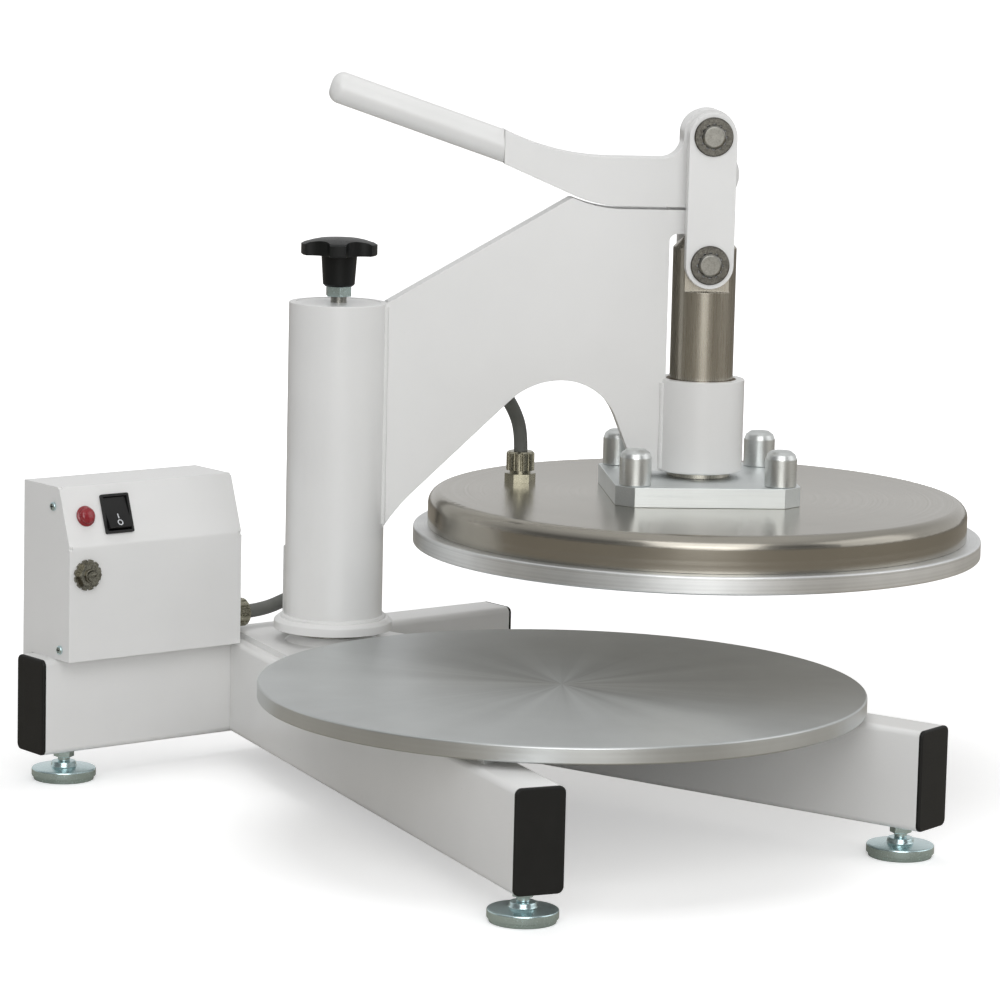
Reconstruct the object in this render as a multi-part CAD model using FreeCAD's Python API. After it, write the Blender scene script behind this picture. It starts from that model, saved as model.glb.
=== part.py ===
import FreeCAD, Part
import math
import os

from FreeCAD import Vector

# Swing-arm pizza dough press with one heated platen, in millimetres.
# Origin: centre of the lower platen's top face. +X right, -Y front, +Z up.
# The arm's own frame has the column axis as its origin and the arm along +X.

# Platens and reach
PLATEN_D = 457.2
LOWER_PLATEN_T = 12.7
UPPER_PLATEN_T = 14.3
PLATEN_TO_COLUMN = 63.5
ARM_ANGLE = -33.2
CLOSED_ANGLE = -90.0
PLATEN_CHAMFER = 1.0
DAYLIGHT = 65.4

# Frame tubes
TUBE_W = 38.1
TUBE_H = 76.2
TUBE_WALL = 3.2
TUBE_CORNER = 5.0
REAR_TUBE_L = 462.0
REAR_TUBE_BEHIND = 81.5
LEG_ANGLE = 15.0
LEG_SPREAD = 53.0
LEG_REACH = 516.0
CAP_T = 3.0
CAP_PLUG_L = 16.0
CAP_PLUG_WALL = 2.5
CAP_EDGE = 1.6
FIT_GAP = 0.3

# Base plate
BASE_T = 4.8
BASE_EDGE = 62.0
BASE_FRONT = 420.0
BASE_LAP = 29.0
PLATEN_BOLT_X = 60.0
PLATEN_BOLT_Y = 70.0
PLATEN_BOLT_D = 9.5
PLATEN_BOLT_DEPTH = 8.0
BOLT_HEAD_AF = 14.3
BOLT_HEAD_H = 6.0
WASHER_D = 20.0
WASHER_T = 1.6
BOLT_CLEARANCE = 0.4
POST_WELD = 6.0

# Levelling feet
FOOT_D = 50.8
FOOT_RIM_H = 6.4
FOOT_LIP_H = 3.0
FOOT_LIP_INSET = 1.6
FOOT_DISH_H = 1.0
FOOT_EDGE = 0.8
FOOT_RISE = 24.4
FOOT_INSET = 29.0
LEG_FOOT_INSET = 24.0
FOOT_STUD_D = 9.5
FOOT_STUD_UP = 30.0
FOOT_STUD_CLEARANCE = 0.5
FOOT_COLLAR_D = 18.6
FOOT_COLLAR_H = 4.0
FOOT_COLLAR_FLARE = 1.0
FOOT_NUT_AF = 14.3
FOOT_NUT_H = 6.4
INSERT_AF = 15.9
INSERT_H = 9.0
RUNNING = 0.05

# Column
POST_D = 63.5
POST_WALL = 6.0
POST_TOP_T = 14.0
POST_CHAMFER = 1.5
SLEEVE_D = 78.5
SLEEVE_WALL = 5.5
SLEEVE_L = 262.7
SLEEVE_LIFT = 10.0
SLEEVE_EDGE = 0.8
POST_TOP_BELOW = 30.0
COLLAR_D = 94.8
COLLAR_H = 9.5
COLLAR_BEVEL = 3.0
CAP_INSET = 0.3
SLEEVE_CAP_T = 12.0
BUSHING_L = 50.0
BUSHING_INSET = 14.0
THRUST_D = 22.0
THRUST_T = 4.0
THRUST_SEAT = 2.0
SCREW_D = 12.7
KNOB_NUT_AF = 19.0
KNOB_NUT_H = 8.0
KNOB_LIFT = 4.6
KNOB_HUB_D = 25.4
KNOB_HUB_TOP_D = 28.6
KNOB_HUB_H = 25.0
KNOB_HUB_EDGE = 1.6
KNOB_HEAD_D = 61.0
KNOB_HEAD_H = 14.0
KNOB_SIDE_H = 9.0
KNOB_EDGE = 1.0
KNOB_SHOULDER = 3.0
KNOB_CROWN_D = 33.0
KNOB_CROWN_DROP = 1.2
KNOB_LOBES = 5
KNOB_TURN = 15.5
KNOB_LOBE_CUT_R = 15.0
KNOB_LOBE_CUT_AT = 36.5

# Swing stops on the base plate and the lug on the sleeve
STOP_H = 69.6
STOP_T = 8.0
STOP_W = 10.0
STOP_GAP = 0.6
STOP_FROM_COLLAR = 1.0
STOP_ANGLE = 94.7
LUG_W = 9.5
LUG_H = 22.0
LUG_BELOW_TOP = 8.0
LUG_REACH = 17.0
LUG_ROOT = 3.0

# Arm plate
PLATE_T = 25.4
RAM_D = 50.8
GUIDE_D = 70.0
GUIDE_H = 74.2
GUIDE_GAP = 4.5
GUIDE_EDGE = 2.0
RAM_BUSHING_WALL = 2.6
RAM_SLOT_GAP = 4.8
UNDER_FOOT_IN = 17.6
ARCH_R_BACK = 60.0
ARCH_R_FRONT = 47.0
ARCH_FROM_RAM = 113.1
ARCH_RISE = 72.2
ARM_RISE_ANGLE = 44.3
ARM_FRONT_ANGLE = 68.9
ARM_ROOT_RUN = 22.2
ARM_ROOT_R = 163.0
ARM_ROOT_LAP = 8.0
ARM_TOP_PROUD = 1.5
ARM_PEAK_ANGLE = 23.5
ARM_PEAK_ROUND = 4.0
NOSE_FROM_RAM = 15.1
NOSE_RELIEF = 3.0
SLOT_CORNER = 6.0
TONGUE_T = 10.0
TONGUE_R = 16.5
TONGUE_BACK = 31.2
TONGUE_TOP_DROP = 8.2
TONGUE_BEND_DROP = 20.0
FORK_GAP = 0.6
FORK_CLEARANCE = 1.5
FORK_SWEEP_R = 44.0
FORK_SWEEP_START = 205.0
FORK_SWEEP_END = 415.0
PIVOT_D = 15.9
PIVOT_PROUD = 2.0

# Lever and links
CRANK_R = 31.0
LINK_C = 101.6
LINK_W = 38.1
LINK_T = 12.7
LINK_GAP = 0.4
RAM_FLAT_W = 36.0
PIN_D = 19.0
PIN_PROUD = 4.6
PIN_CHAMFER = 1.6
RING_D = 31.0
RING_T = 2.2
RING_GAP = 0.1
RING_EDGE = 0.8
RING_TEETH = 12
RING_SLOT_R = 1.3
HANDLE_T = 25.4
HANDLE_GAP = 2.0
CHEEK_R = 24.0
CHEEK_FLAT_BACK = 12.0
HANDLE_UNDER_DROP = 26.6
HUMP_R = 21.0
HUMP_BLEND = 16.0
HANDLE_TOP_R = 190.0
HANDLE_UNDER_R = 100.0
HANDLE_UNDER_ANGLE = 23.2
HANDLE_NECK = 39.1
HANDLE_FLAT_BACK = 68.1
HANDLE_TOP_BACK = 78.1
HANDLE_BACK = 163.5
GRIP_D = 25.4
GRIP_L = 145.0
GRIP_ANGLE = 18.6
GRIP_ROUND = 9.0
SPACER_D = 28.0

# Ram and upper platen
LOWER_PIN_UP = 93.6
RAM_TOP_UP = 19.8
RAM_SHOULDER_DOWN = 22.5
RAM_CHAMFER = 8.0
RAM_SPIGOT_D = 30.0
PLATEN_RIM = 11.6
PAN_H = 28.4
PAN_WALL = 1.5
PAN_ROUND = 10.5
BLOCK_EDGE = 16.0
BLOCK_T = 15.9
BLOCK_CORNER = 14.0
STUD_PITCH = 116.0
STUD_D = 9.5
STUD_DEPTH = 8.0
STUD_IN_CAP = 17.7
CAP_NUT_D = 25.4
CAP_NUT_H = 29.5
CAP_NUT_EDGE = 0.6
CAP_NUT_DOME = 8.0
STANDOFF_D = 19.0
ELEMENT_D = 10.7
ELEMENT_LIFT = 5.5
ELEMENT_INNER_R = 105.0
ELEMENT_PITCH = 60.0
ELEMENT_RINGS = 2
GLAND_FROM_RAM = 137.9
GLAND_SIDE = 62.0
GLAND_H = 25.2
GLAND_HEX_AF = 22.0
GLAND_HEX_H = 7.0
GLAND_CAP_D = 23.0
GLAND_CAP_H = 15.5
GLAND_CAP_EDGE = 1.5
GLAND_CAP_FLUTES = 12
GLAND_FLUTE_R = 1.1
GLAND_NECK_D = 17.0
GLAND_THREAD_L = 8.0
GLAND_NUT_T = 4.0

# Control box
BOX_W = 162.5
BOX_RIGHT = -58.5
BOX_D = 66.8
BOX_OVERHANG = 16.8
BOX_H = 136.4
BOX_FRONT_H = 89.9
BOX_TOP_SETBACK = 16.3
BOX_WALL = 1.5
BOX_FLANGE = 19.0
BOX_SKIRT = 12.0
BOX_NOTCH_R = 1.6
BOX_SCREW_BACK = 12.5
BOX_SCREW_UP = 8.3
BOX_SCREW_DOWN = 15.7
BOX_SCREW_D = 4.0
BOX_SCREW_HEAD_D = 7.0
BOX_SCREW_HEAD_H = 2.2
BOX_SCREW_L = 7.5
PANEL_ITEM_UP = 24.8
PANEL_CLEARANCE = 0.8
LAMP_X = -201.6
LAMP_LENS_D = 13.0
LAMP_LENS_H = 6.6
LAMP_BEZEL_D = 16.4
LAMP_BEZEL_T = 2.0
LAMP_BODY_D = 12.0
LAMP_L = 26.0
SWITCH_X = -173.0
SWITCH_W = 26.0
SWITCH_H = 31.5
SWITCH_BEZEL_T = 2.0
SWITCH_CORNER = 1.5
SWITCH_BODY_D = 22.0
SWITCH_RIM = 2.1
ROCKER_TILT = 11.0
ROCKER_DEPTH = 1.5
ROCKER_GAP = 0.4
ROCKER_MIDDLE_H = 3.0
ROCKER_END_H = 4.2
ROCKER_ROOT = 4.0
ROCKER_PIN_D = 3.0
THERMO_X = -205.0
THERMO_UP = 68.5
THERMO_BEZEL_D = 24.5
THERMO_BEZEL_T = 6.0
THERMO_WASHER_T = 2.0
THERMO_NUT_AF = 17.6
THERMO_NOTCHES = 12
THERMO_NOTCH_R = 1.3
THERMO_BUSH_D = 11.0
THERMO_BUSH_PROUD = 1.5
THERMO_STEM_D = 8.0
THERMO_STEM_PROUD = 2.5
THERMO_STEM_IN = 7.0
THERMO_SLOT_W = 1.6
THERMO_SLOT_DEPTH = 2.0
THERMO_BODY_W = 26.0
THERMO_BODY_L = 32.0
BOX_GLAND_UP = 18.2
BOX_GLAND_L = 27.0
MAINS_GLAND_X = -180.0
MAINS_GLAND_UP = 30.0
MAINS_BORE_D = 9.0

# Heater cable
CABLE_D = 11.2
CABLE_SIDE = 20.0
CLIP_WALL = 1.4
CLIP_W = 10.0
CLIP_TAB = 17.0
CLIP_TAB_T = 1.5
CLIP_SCREW_D = 8.0
CLIP_SCREW_H = 3.0
CLIP_SCREW_INSET = 4.8
CLIP_PLACE = 0.5
CLIP_SHARE = 0.15

# Places that follow from the sizes above, heights from the lower platen's top face
ARM_REACH = PLATEN_D / 2 + PLATEN_TO_COLUMN
PAN_D = PLATEN_D - 2 * PLATEN_RIM
BLOCK_W = STUD_PITCH + 2 * BLOCK_EDGE
BASE_TOP = -LOWER_PLATEN_T
TUBE_TOP = BASE_TOP - BASE_T
TUBE_BOTTOM = TUBE_TOP - TUBE_H
SLEEVE_BOTTOM = BASE_TOP + SLEEVE_LIFT
SLEEVE_TOP = SLEEVE_BOTTOM + SLEEVE_L
POST_TOP = SLEEVE_TOP - POST_TOP_BELOW
UPPER_TOP = DAYLIGHT + UPPER_PLATEN_T
PAN_TOP = UPPER_TOP + PAN_H
BLOCK_TOP = PAN_TOP + BLOCK_T
GUIDE_BOTTOM = BLOCK_TOP + GUIDE_GAP
GUIDE_TOP = GUIDE_BOTTOM + GUIDE_H
LOWER_PIN_Z = GUIDE_TOP + LOWER_PIN_UP
CRANK_PIN_Z = LOWER_PIN_Z + LINK_C
PIVOT_Z = CRANK_PIN_Z - CRANK_R
RAM_TOP = LOWER_PIN_Z + RAM_TOP_UP
RAM_SHOULDER = LOWER_PIN_Z - RAM_SHOULDER_DOWN
HANDLE_UNDER_Z = PIVOT_Z - HANDLE_UNDER_DROP
NOSE_TOP = HANDLE_UNDER_Z - HANDLE_GAP
LINK_IN = RAM_FLAT_W / 2 + LINK_GAP
LINK_OUT = LINK_IN + LINK_T
PIN_END = LINK_OUT + PIN_PROUD
COLUMN = Vector(0, ARM_REACH, 0)
Z_AXIS = Vector(0, 0, 1)
ORIGIN = Vector(0, 0, 0)


def upright(radius, low, high, x=0.0, y=0.0):
    """Round bar standing along Z."""
    return Part.makeCylinder(radius, high - low, Vector(x, y, low))


def ring(outer, inner, low, high, x=0.0, y=0.0):
    """Round tube standing along Z."""
    return upright(outer, low, high, x, y).cut(upright(inner, low - 1, high + 1, x, y))


def crossbar(radius, y0, y1, x, z):
    """Round bar lying along Y, across the arm."""
    return Part.makeCylinder(radius, y1 - y0, Vector(x, y0, z), Vector(0, 1, 0))


def rod(radius, start, end):
    """Round bar from one point to another."""
    along = end.sub(start)
    return Part.makeCylinder(radius, along.Length, start, along)


def block(x0, x1, y0, y1, z0, z1):
    """Rectangular block between two corners."""
    return Part.makeBox(x1 - x0, y1 - y0, z1 - z0, Vector(x0, y0, z0))


def hexagon(across_flats, low, high, x=0.0, y=0.0):
    """Hexagonal bar standing along Z."""
    radius = across_flats / math.sqrt(3)
    points = []
    for side in range(7):
        turn = math.radians(60 * side)
        points.append(Vector(x + radius * math.cos(turn), y + radius * math.sin(turn), low))
    face = Part.Face(Part.makePolygon(points))
    return face.extrude(Vector(0, 0, high - low))


def turned(profile, x=0.0, y=0.0):
    """Solid of revolution about a vertical line from (radius, height) points."""
    points = [Vector(x + radius, y, z) for radius, z in profile]
    points.append(points[0])
    face = Part.Face(Part.makePolygon(points))
    return face.revolve(Vector(x, y, 0), Z_AXIS, 360)


def vertical_edges(shape):
    """Straight edges along Z."""
    return [edge for edge in shape.Edges if edge.BoundBox.XLength < 1e-6 and edge.BoundBox.YLength < 1e-6]


class Outline:
    """Closed outline of lines and arcs in the XZ plane."""

    def __init__(self, x, z):
        self.edges = []
        self.first = Vector(x, 0, z)
        self.last = self.first

    def line(self, x, z):
        point = Vector(x, 0, z)
        if point.sub(self.last).Length > 1e-6:
            self.edges.append(Part.LineSegment(self.last, point).toShape())
        self.last = point
        return self

    def arc(self, cx, cz, radius, start, end):
        """Arc about a centre between two angles in degrees, joined by a line."""
        points = []
        for angle in (start, (start + end) / 2, end):
            turn = math.radians(angle)
            points.append(Vector(cx + radius * math.cos(turn), 0, cz + radius * math.sin(turn)))
        self.line(points[0].x, points[0].z)
        self.edges.append(Part.Arc(*points).toShape())
        self.last = points[2]
        return self

    def slab(self, y0, y1):
        self.line(self.first.x, self.first.z)
        face = Part.Face(Part.Wire(self.edges))
        solid = face.extrude(Vector(0, y1 - y0, 0))
        solid.translate(Vector(0, y0, 0))
        return solid


def at_arm(shape):
    """Takes a shape from the arm's own frame to its place at rest."""
    placed = shape.copy()
    placed.rotate(ORIGIN, Z_AXIS, ARM_ANGLE)
    placed.translate(COLUMN)
    return placed


def at_column(shape):
    placed = shape.copy()
    placed.translate(COLUMN)
    return placed


def save(name, solids):
    """Writes one node: a solid or a group of separate solids."""
    shape = solids if isinstance(solids, Part.Shape) else Part.makeCompound(solids)
    for solid in shape.Solids:
        if not solid.isValid() or solid.Volume <= 0:
            print("bad solid in", name)
    shape.exportStep("parts/" + name + ".step")
    print(name, len(shape.Solids), "solids", round(sum(s.Volume for s in shape.Solids) / 1000, 2), "cm3")


def rounded_section(width, height, corner):
    """Rounded rectangle in the XZ plane, centred on the origin."""
    w = width / 2
    h = height / 2
    outline = Outline(-w + corner, -h)
    outline.arc(w - corner, -h + corner, corner, -90, 0)
    outline.arc(w - corner, h - corner, corner, 0, 90)
    outline.arc(-w + corner, h - corner, corner, 90, 180)
    outline.arc(-w + corner, -h + corner, corner, 180, 270)
    return outline


def frame_tube(length):
    """Rectangular tube along +Y from the origin, its top face at height 0."""
    outer = rounded_section(TUBE_W, TUBE_H, TUBE_CORNER).slab(0, length)
    inner_corner = max(TUBE_CORNER - TUBE_WALL, 0.5)
    inner = rounded_section(TUBE_W - 2 * TUBE_WALL, TUBE_H - 2 * TUBE_WALL, inner_corner)
    tube = outer.cut(inner.slab(-1, length + 1))
    tube.translate(Vector(0, 0, -TUBE_H / 2))
    return tube


def tube_cap():
    """Plastic end cap whose flange covers a tube end at Y = 0, its plug along +Y."""
    flange = rounded_section(TUBE_W, TUBE_H, TUBE_CORNER).slab(-CAP_T, 0)
    rim = [edge for edge in flange.Edges if abs(edge.BoundBox.YMax + CAP_T) < 1e-6]
    flange = flange.makeFillet(CAP_EDGE, rim)
    plug_w = TUBE_W - 2 * TUBE_WALL - 2 * FIT_GAP
    plug_h = TUBE_H - 2 * TUBE_WALL - 2 * FIT_GAP
    corner = max(TUBE_CORNER - TUBE_WALL, 0.5)
    plug = rounded_section(plug_w, plug_h, corner).slab(0, CAP_PLUG_L)
    hollow = rounded_section(plug_w - 2 * CAP_PLUG_WALL, plug_h - 2 * CAP_PLUG_WALL, corner)
    cap = flange.fuse(plug.cut(hollow.slab(0, CAP_PLUG_L + 1)))
    cap.translate(Vector(0, 0, -TUBE_H / 2))
    return cap.removeSplitter()


def place_rear(shape, side, inset=0.0):
    """Moves a shape made along +Y to the rear tube's left (-1) or right (+1) end, or inset from it."""
    placed = shape.copy()
    placed.translate(Vector(0, inset, 0))
    placed.rotate(ORIGIN, Z_AXIS, 90 if side > 0 else -90)
    placed.translate(Vector(side * REAR_TUBE_L / 2, ARM_REACH + REAR_TUBE_BEHIND, TUBE_TOP))
    return placed


def leg_point(side, along):
    """Point on a leg's centre line, along from the column's cross line to the front."""
    turn = math.radians(LEG_ANGLE)
    x = side * (LEG_SPREAD + along * math.sin(turn))
    return Vector(x, ARM_REACH - along * math.cos(turn), TUBE_TOP)


def place_leg(shape, side, inset=0.0):
    """Moves a shape made along +Y so that its start lies at a leg's front end, or inset from it."""
    placed = shape.copy()
    placed.translate(Vector(0, inset, 0))
    placed.rotate(ORIGIN, Z_AXIS, side * LEG_ANGLE)
    placed.translate(leg_point(side, LEG_REACH))
    return placed


ENDS = {
    "rear_left": lambda shape: place_rear(shape, -1),
    "rear_right": lambda shape: place_rear(shape, 1),
    "front_left": lambda shape: place_leg(shape, -1),
    "front_right": lambda shape: place_leg(shape, 1),
}
FEET = {
    "rear_left": lambda shape: place_rear(shape, -1, FOOT_INSET),
    "rear_right": lambda shape: place_rear(shape, 1, FOOT_INSET),
    "front_left": lambda shape: place_leg(shape, -1, LEG_FOOT_INSET),
    "front_right": lambda shape: place_leg(shape, 1, LEG_FOOT_INSET),
}


def stud_hole():
    """Clearance hole for a foot's stud through a tube's bottom wall."""
    radius = FOOT_STUD_D / 2 + FOOT_STUD_CLEARANCE
    return upright(radius, -TUBE_H - 1, -TUBE_H + TUBE_WALL + 1)


def frame_tubes():
    rear = place_rear(frame_tube(REAR_TUBE_L), -1)
    for end in ("rear_left", "rear_right"):
        rear = rear.cut(FEET[end](stud_hole()))
    front_face = ARM_REACH + REAR_TUBE_BEHIND - TUBE_W / 2
    behind = block(-LEG_REACH, LEG_REACH, front_face, front_face + LEG_REACH, TUBE_BOTTOM - 10, TUBE_TOP + 10)
    legs = []
    for side, end in ((-1, "front_left"), (1, "front_right")):
        leg = place_leg(frame_tube(LEG_REACH + REAR_TUBE_BEHIND + TUBE_W), side)
        legs.append(leg.cut(behind).cut(FEET[end](stud_hole())))
    save("rear_cross_tube", rear)
    save("left_leg", legs[0])
    save("right_leg", legs[1])
    save("tube_end_caps", [move(tube_cap()) for move in ENDS.values()])


def base_plate():
    """Plate whose sides run parallel to the legs, with holes for the platen's bolts."""
    slope = math.tan(math.radians(LEG_ANGLE))
    rear = REAR_TUBE_BEHIND - TUBE_W / 2 + BASE_LAP
    half_rear = BASE_EDGE - rear * slope
    half_front = BASE_EDGE + BASE_FRONT * slope
    corners = [
        Vector(-half_rear, ARM_REACH + rear, TUBE_TOP),
        Vector(half_rear, ARM_REACH + rear, TUBE_TOP),
        Vector(half_front, ARM_REACH - BASE_FRONT, TUBE_TOP),
        Vector(-half_front, ARM_REACH - BASE_FRONT, TUBE_TOP),
    ]
    plate = Part.Face(Part.makePolygon(corners + corners[:1])).extrude(Vector(0, 0, BASE_T))
    for x, y in platen_bolt_places():
        plate = plate.cut(upright(PLATEN_BOLT_D / 2 + BOLT_CLEARANCE, TUBE_TOP - 1, BASE_TOP + 1, x, y))
    foot_r = POST_D / 2
    weld = turned([(foot_r, BASE_TOP), (foot_r + POST_WELD, BASE_TOP), (foot_r, BASE_TOP + POST_WELD)])
    save("base_plate", plate.fuse(at_column(weld)).removeSplitter())


def platen_bolt_places():
    return [(sx * PLATEN_BOLT_X, sy * PLATEN_BOLT_Y) for sx in (-1, 1) for sy in (-1, 1)]


def lower_platen():
    radius = PLATEN_D / 2
    disc = upright(radius, BASE_TOP, 0)
    disc = disc.makeChamfer(PLATEN_CHAMFER, [edge for edge in disc.Edges if edge.BoundBox.XLength > radius])
    bolts = []
    for x, y in platen_bolt_places():
        depth = BASE_TOP + PLATEN_BOLT_DEPTH
        disc = disc.cut(upright(PLATEN_BOLT_D / 2 + RUNNING, BASE_TOP - 1, depth + 1, x, y))
        shank = upright(PLATEN_BOLT_D / 2, TUBE_TOP - WASHER_T - BOLT_HEAD_H / 2, depth, x, y)
        washer = upright(WASHER_D / 2, TUBE_TOP - WASHER_T, TUBE_TOP, x, y)
        head_top = TUBE_TOP - WASHER_T
        head = hexagon(BOLT_HEAD_AF, head_top - BOLT_HEAD_H, head_top, x, y)
        bolts.append(shank.fuse(washer).fuse(head))
    save("lower_platen", disc)
    save("lower_platen_bolts", bolts)


def foot():
    """Levelling foot below a tube, with the tube's top at height 0 and the stud's axis along Z."""
    low = -TUBE_H - FOOT_RISE
    rim = low + FOOT_LIP_H + FOOT_RIM_H
    dish = rim + FOOT_DISH_H
    radius = FOOT_D / 2
    collar = FOOT_COLLAR_D / 2
    profile = [
        (0, low),
        (radius - FOOT_LIP_INSET, low),
        (radius - FOOT_LIP_INSET, low + FOOT_LIP_H),
        (radius, low + FOOT_LIP_H),
        (radius, rim - FOOT_EDGE),
        (radius - FOOT_EDGE, rim),
        (collar + FOOT_COLLAR_FLARE, dish),
        (collar, dish + FOOT_COLLAR_H),
        (FOOT_STUD_D / 2, dish + FOOT_COLLAR_H),
        (FOOT_STUD_D / 2, -TUBE_H + FOOT_STUD_UP),
        (0, -TUBE_H + FOOT_STUD_UP),
    ]
    return turned(profile)


def foot_nuts():
    """Jam nut under the tube and threaded insert inside its bottom wall."""
    bore = FOOT_STUD_D / 2 + RUNNING
    hole = upright(bore, -TUBE_H - FOOT_RISE, 0)
    jam = hexagon(FOOT_NUT_AF, -TUBE_H - FOOT_NUT_H, -TUBE_H)
    low = -TUBE_H + TUBE_WALL
    insert = hexagon(INSERT_AF, low, low + INSERT_H)
    return [jam.cut(hole), insert.cut(hole)]


def feet():
    nuts = []
    for end, move in FEET.items():
        save("foot_" + end, move(foot()))
        nuts.extend(move(nut) for nut in foot_nuts())
    save("foot_nuts", nuts)


def swing_range():
    return CLOSED_ANGLE - ARM_ANGLE


def stop_radius():
    return COLLAR_D / 2 + STOP_FROM_COLLAR


def polar(radius, angle, z=0.0):
    turn = math.radians(angle)
    return Vector(radius * math.cos(turn), radius * math.sin(turn), z)


def half_angle(width, radius):
    return math.degrees(math.asin(width / 2 / radius))


def lug_angle():
    """Angle of the lug at rest, just short of the first stop."""
    radius = stop_radius()
    gap = math.degrees(STOP_GAP / radius)
    return STOP_ANGLE - half_angle(STOP_T, radius) - half_angle(LUG_W, radius) - gap


def second_stop_angle():
    radius = stop_radius()
    gap = math.degrees(STOP_GAP / radius)
    return lug_angle() + swing_range() - half_angle(LUG_W, radius) - half_angle(STOP_T, radius) - gap


def column():
    radius = POST_D / 2
    inner = radius - POST_WALL
    seat = THRUST_D / 2 + RUNNING
    profile = [
        (inner, BASE_TOP),
        (radius, BASE_TOP),
        (radius, POST_TOP - POST_CHAMFER),
        (radius - POST_CHAMFER, POST_TOP),
        (seat, POST_TOP),
        (seat, POST_TOP - THRUST_SEAT),
        (0, POST_TOP - THRUST_SEAT),
        (0, POST_TOP - POST_TOP_T),
        (inner, POST_TOP - POST_TOP_T),
    ]
    save("inner_post", at_column(turned(profile)))
    thrust_low = POST_TOP - THRUST_SEAT
    save("thrust_disc", at_column(upright(THRUST_D / 2, thrust_low, thrust_low + THRUST_T)))

    stops = []
    for angle in (STOP_ANGLE, second_stop_angle()):
        low = stop_radius()
        bar = block(low, low + STOP_W, -STOP_T / 2, STOP_T / 2, BASE_TOP, BASE_TOP + STOP_H)
        bar.rotate(ORIGIN, Z_AXIS, angle)
        stops.append(at_column(bar))
    save("swing_stops", stops)


def sleeve():
    outer = SLEEVE_D / 2
    inner = outer - SLEEVE_WALL
    tube = ring(outer, inner, SLEEVE_BOTTOM, SLEEVE_TOP)
    save("column_sleeve", at_column(round_edges_at_radius(tube, SLEEVE_EDGE, outer, SLEEVE_TOP)))
    collar = ring(COLLAR_D / 2, outer, SLEEVE_BOTTOM, SLEEVE_BOTTOM + COLLAR_H)
    rim = level_edges(collar, COLLAR_D / 2, SLEEVE_BOTTOM + COLLAR_H)
    save("stop_collar", at_column(collar.makeChamfer(COLLAR_BEVEL, rim)))
    cap_top = SLEEVE_TOP - CAP_INSET
    cap = ring(inner, SCREW_D / 2 + RUNNING, cap_top - SLEEVE_CAP_T, cap_top)
    save("sleeve_cap", at_column(cap))
    bushings = []
    for low in (SLEEVE_BOTTOM + BUSHING_INSET, POST_TOP - BUSHING_L - BUSHING_INSET):
        bushings.append(at_column(ring(inner, POST_D / 2 + RUNNING, low, low + BUSHING_L)))
    save("column_bushings", bushings)

    top = BASE_TOP + STOP_H - LUG_BELOW_TOP
    lug = block(outer - LUG_ROOT, outer + LUG_REACH, -LUG_W / 2, LUG_W / 2, top - LUG_H, top)
    lug = lug.cut(upright(outer, top - LUG_H - 1, top + 1))
    lug.rotate(ORIGIN, Z_AXIS, lug_angle())
    save("stop_lug", at_column(lug))


def level_edges(shape, radius, height):
    """Level round edges of one radius at one height."""
    edges = []
    for edge in shape.Edges:
        box = edge.BoundBox
        level = abs(box.ZMin - height) < 1e-4 and abs(box.ZMax - height) < 1e-4
        if level and abs(box.XLength - 2 * radius) < 0.1:
            edges.append(edge)
    return edges


def round_edges_at_radius(shape, size, radius, height):
    """Rounds the level round edge of one radius at one height."""
    return shape.makeFillet(size, level_edges(shape, radius, height))


def knob():
    """Adjusting screw through the sleeve cap, with its nut and lobed knob."""
    low = POST_TOP - THRUST_SEAT + THRUST_T
    nut_low = SLEEVE_TOP + KNOB_LIFT
    hub_low = nut_low + KNOB_NUT_H
    head_low = hub_low + KNOB_HUB_H
    head_top = head_low + KNOB_HEAD_H
    screw_top = hub_low + KNOB_HUB_H / 2
    save("adjusting_screw", at_column(upright(SCREW_D / 2, low, screw_top)))
    nut = hexagon(KNOB_NUT_AF, nut_low, hub_low).cut(upright(SCREW_D / 2, nut_low - 1, hub_low + 1))
    save("knob_nut", at_column(nut))

    radius = KNOB_HEAD_D / 2
    hub = KNOB_HUB_D / 2
    shoulder = head_low + KNOB_SIDE_H
    profile = [
        (0, hub_low),
        (hub - KNOB_HUB_EDGE, hub_low),
        (hub, hub_low + KNOB_HUB_EDGE),
        (KNOB_HUB_TOP_D / 2, head_low),
        (radius - KNOB_EDGE, head_low),
        (radius, head_low + KNOB_EDGE),
        (radius, shoulder),
        (radius - KNOB_SHOULDER, shoulder + KNOB_SHOULDER / 2),
        (KNOB_CROWN_D / 2, head_top - KNOB_CROWN_DROP),
        (0, head_top),
    ]
    body = turned(profile)
    for lobe in range(KNOB_LOBES):
        place = polar(KNOB_LOBE_CUT_AT, KNOB_TURN + 360.0 * (lobe + 0.5) / KNOB_LOBES)
        body = body.cut(upright(KNOB_LOBE_CUT_R, head_low - 0.01, head_top + 1, place.x, place.y))
    body = body.cut(upright(SCREW_D / 2, hub_low - 1, screw_top))
    save("star_knob", at_column(body))


def peak():
    """Corner of the arm plate where its back edge meets the curve under the handle."""
    radius = HANDLE_UNDER_R + HANDLE_GAP
    centre_x = ARM_REACH - HANDLE_FLAT_BACK
    centre_z = HANDLE_UNDER_Z + HANDLE_UNDER_R
    corner = polar(radius, 270 - ARM_PEAK_ANGLE)
    return centre_x, centre_z, radius, Vector(centre_x + corner.x, 0, centre_z + corner.y)


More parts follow.
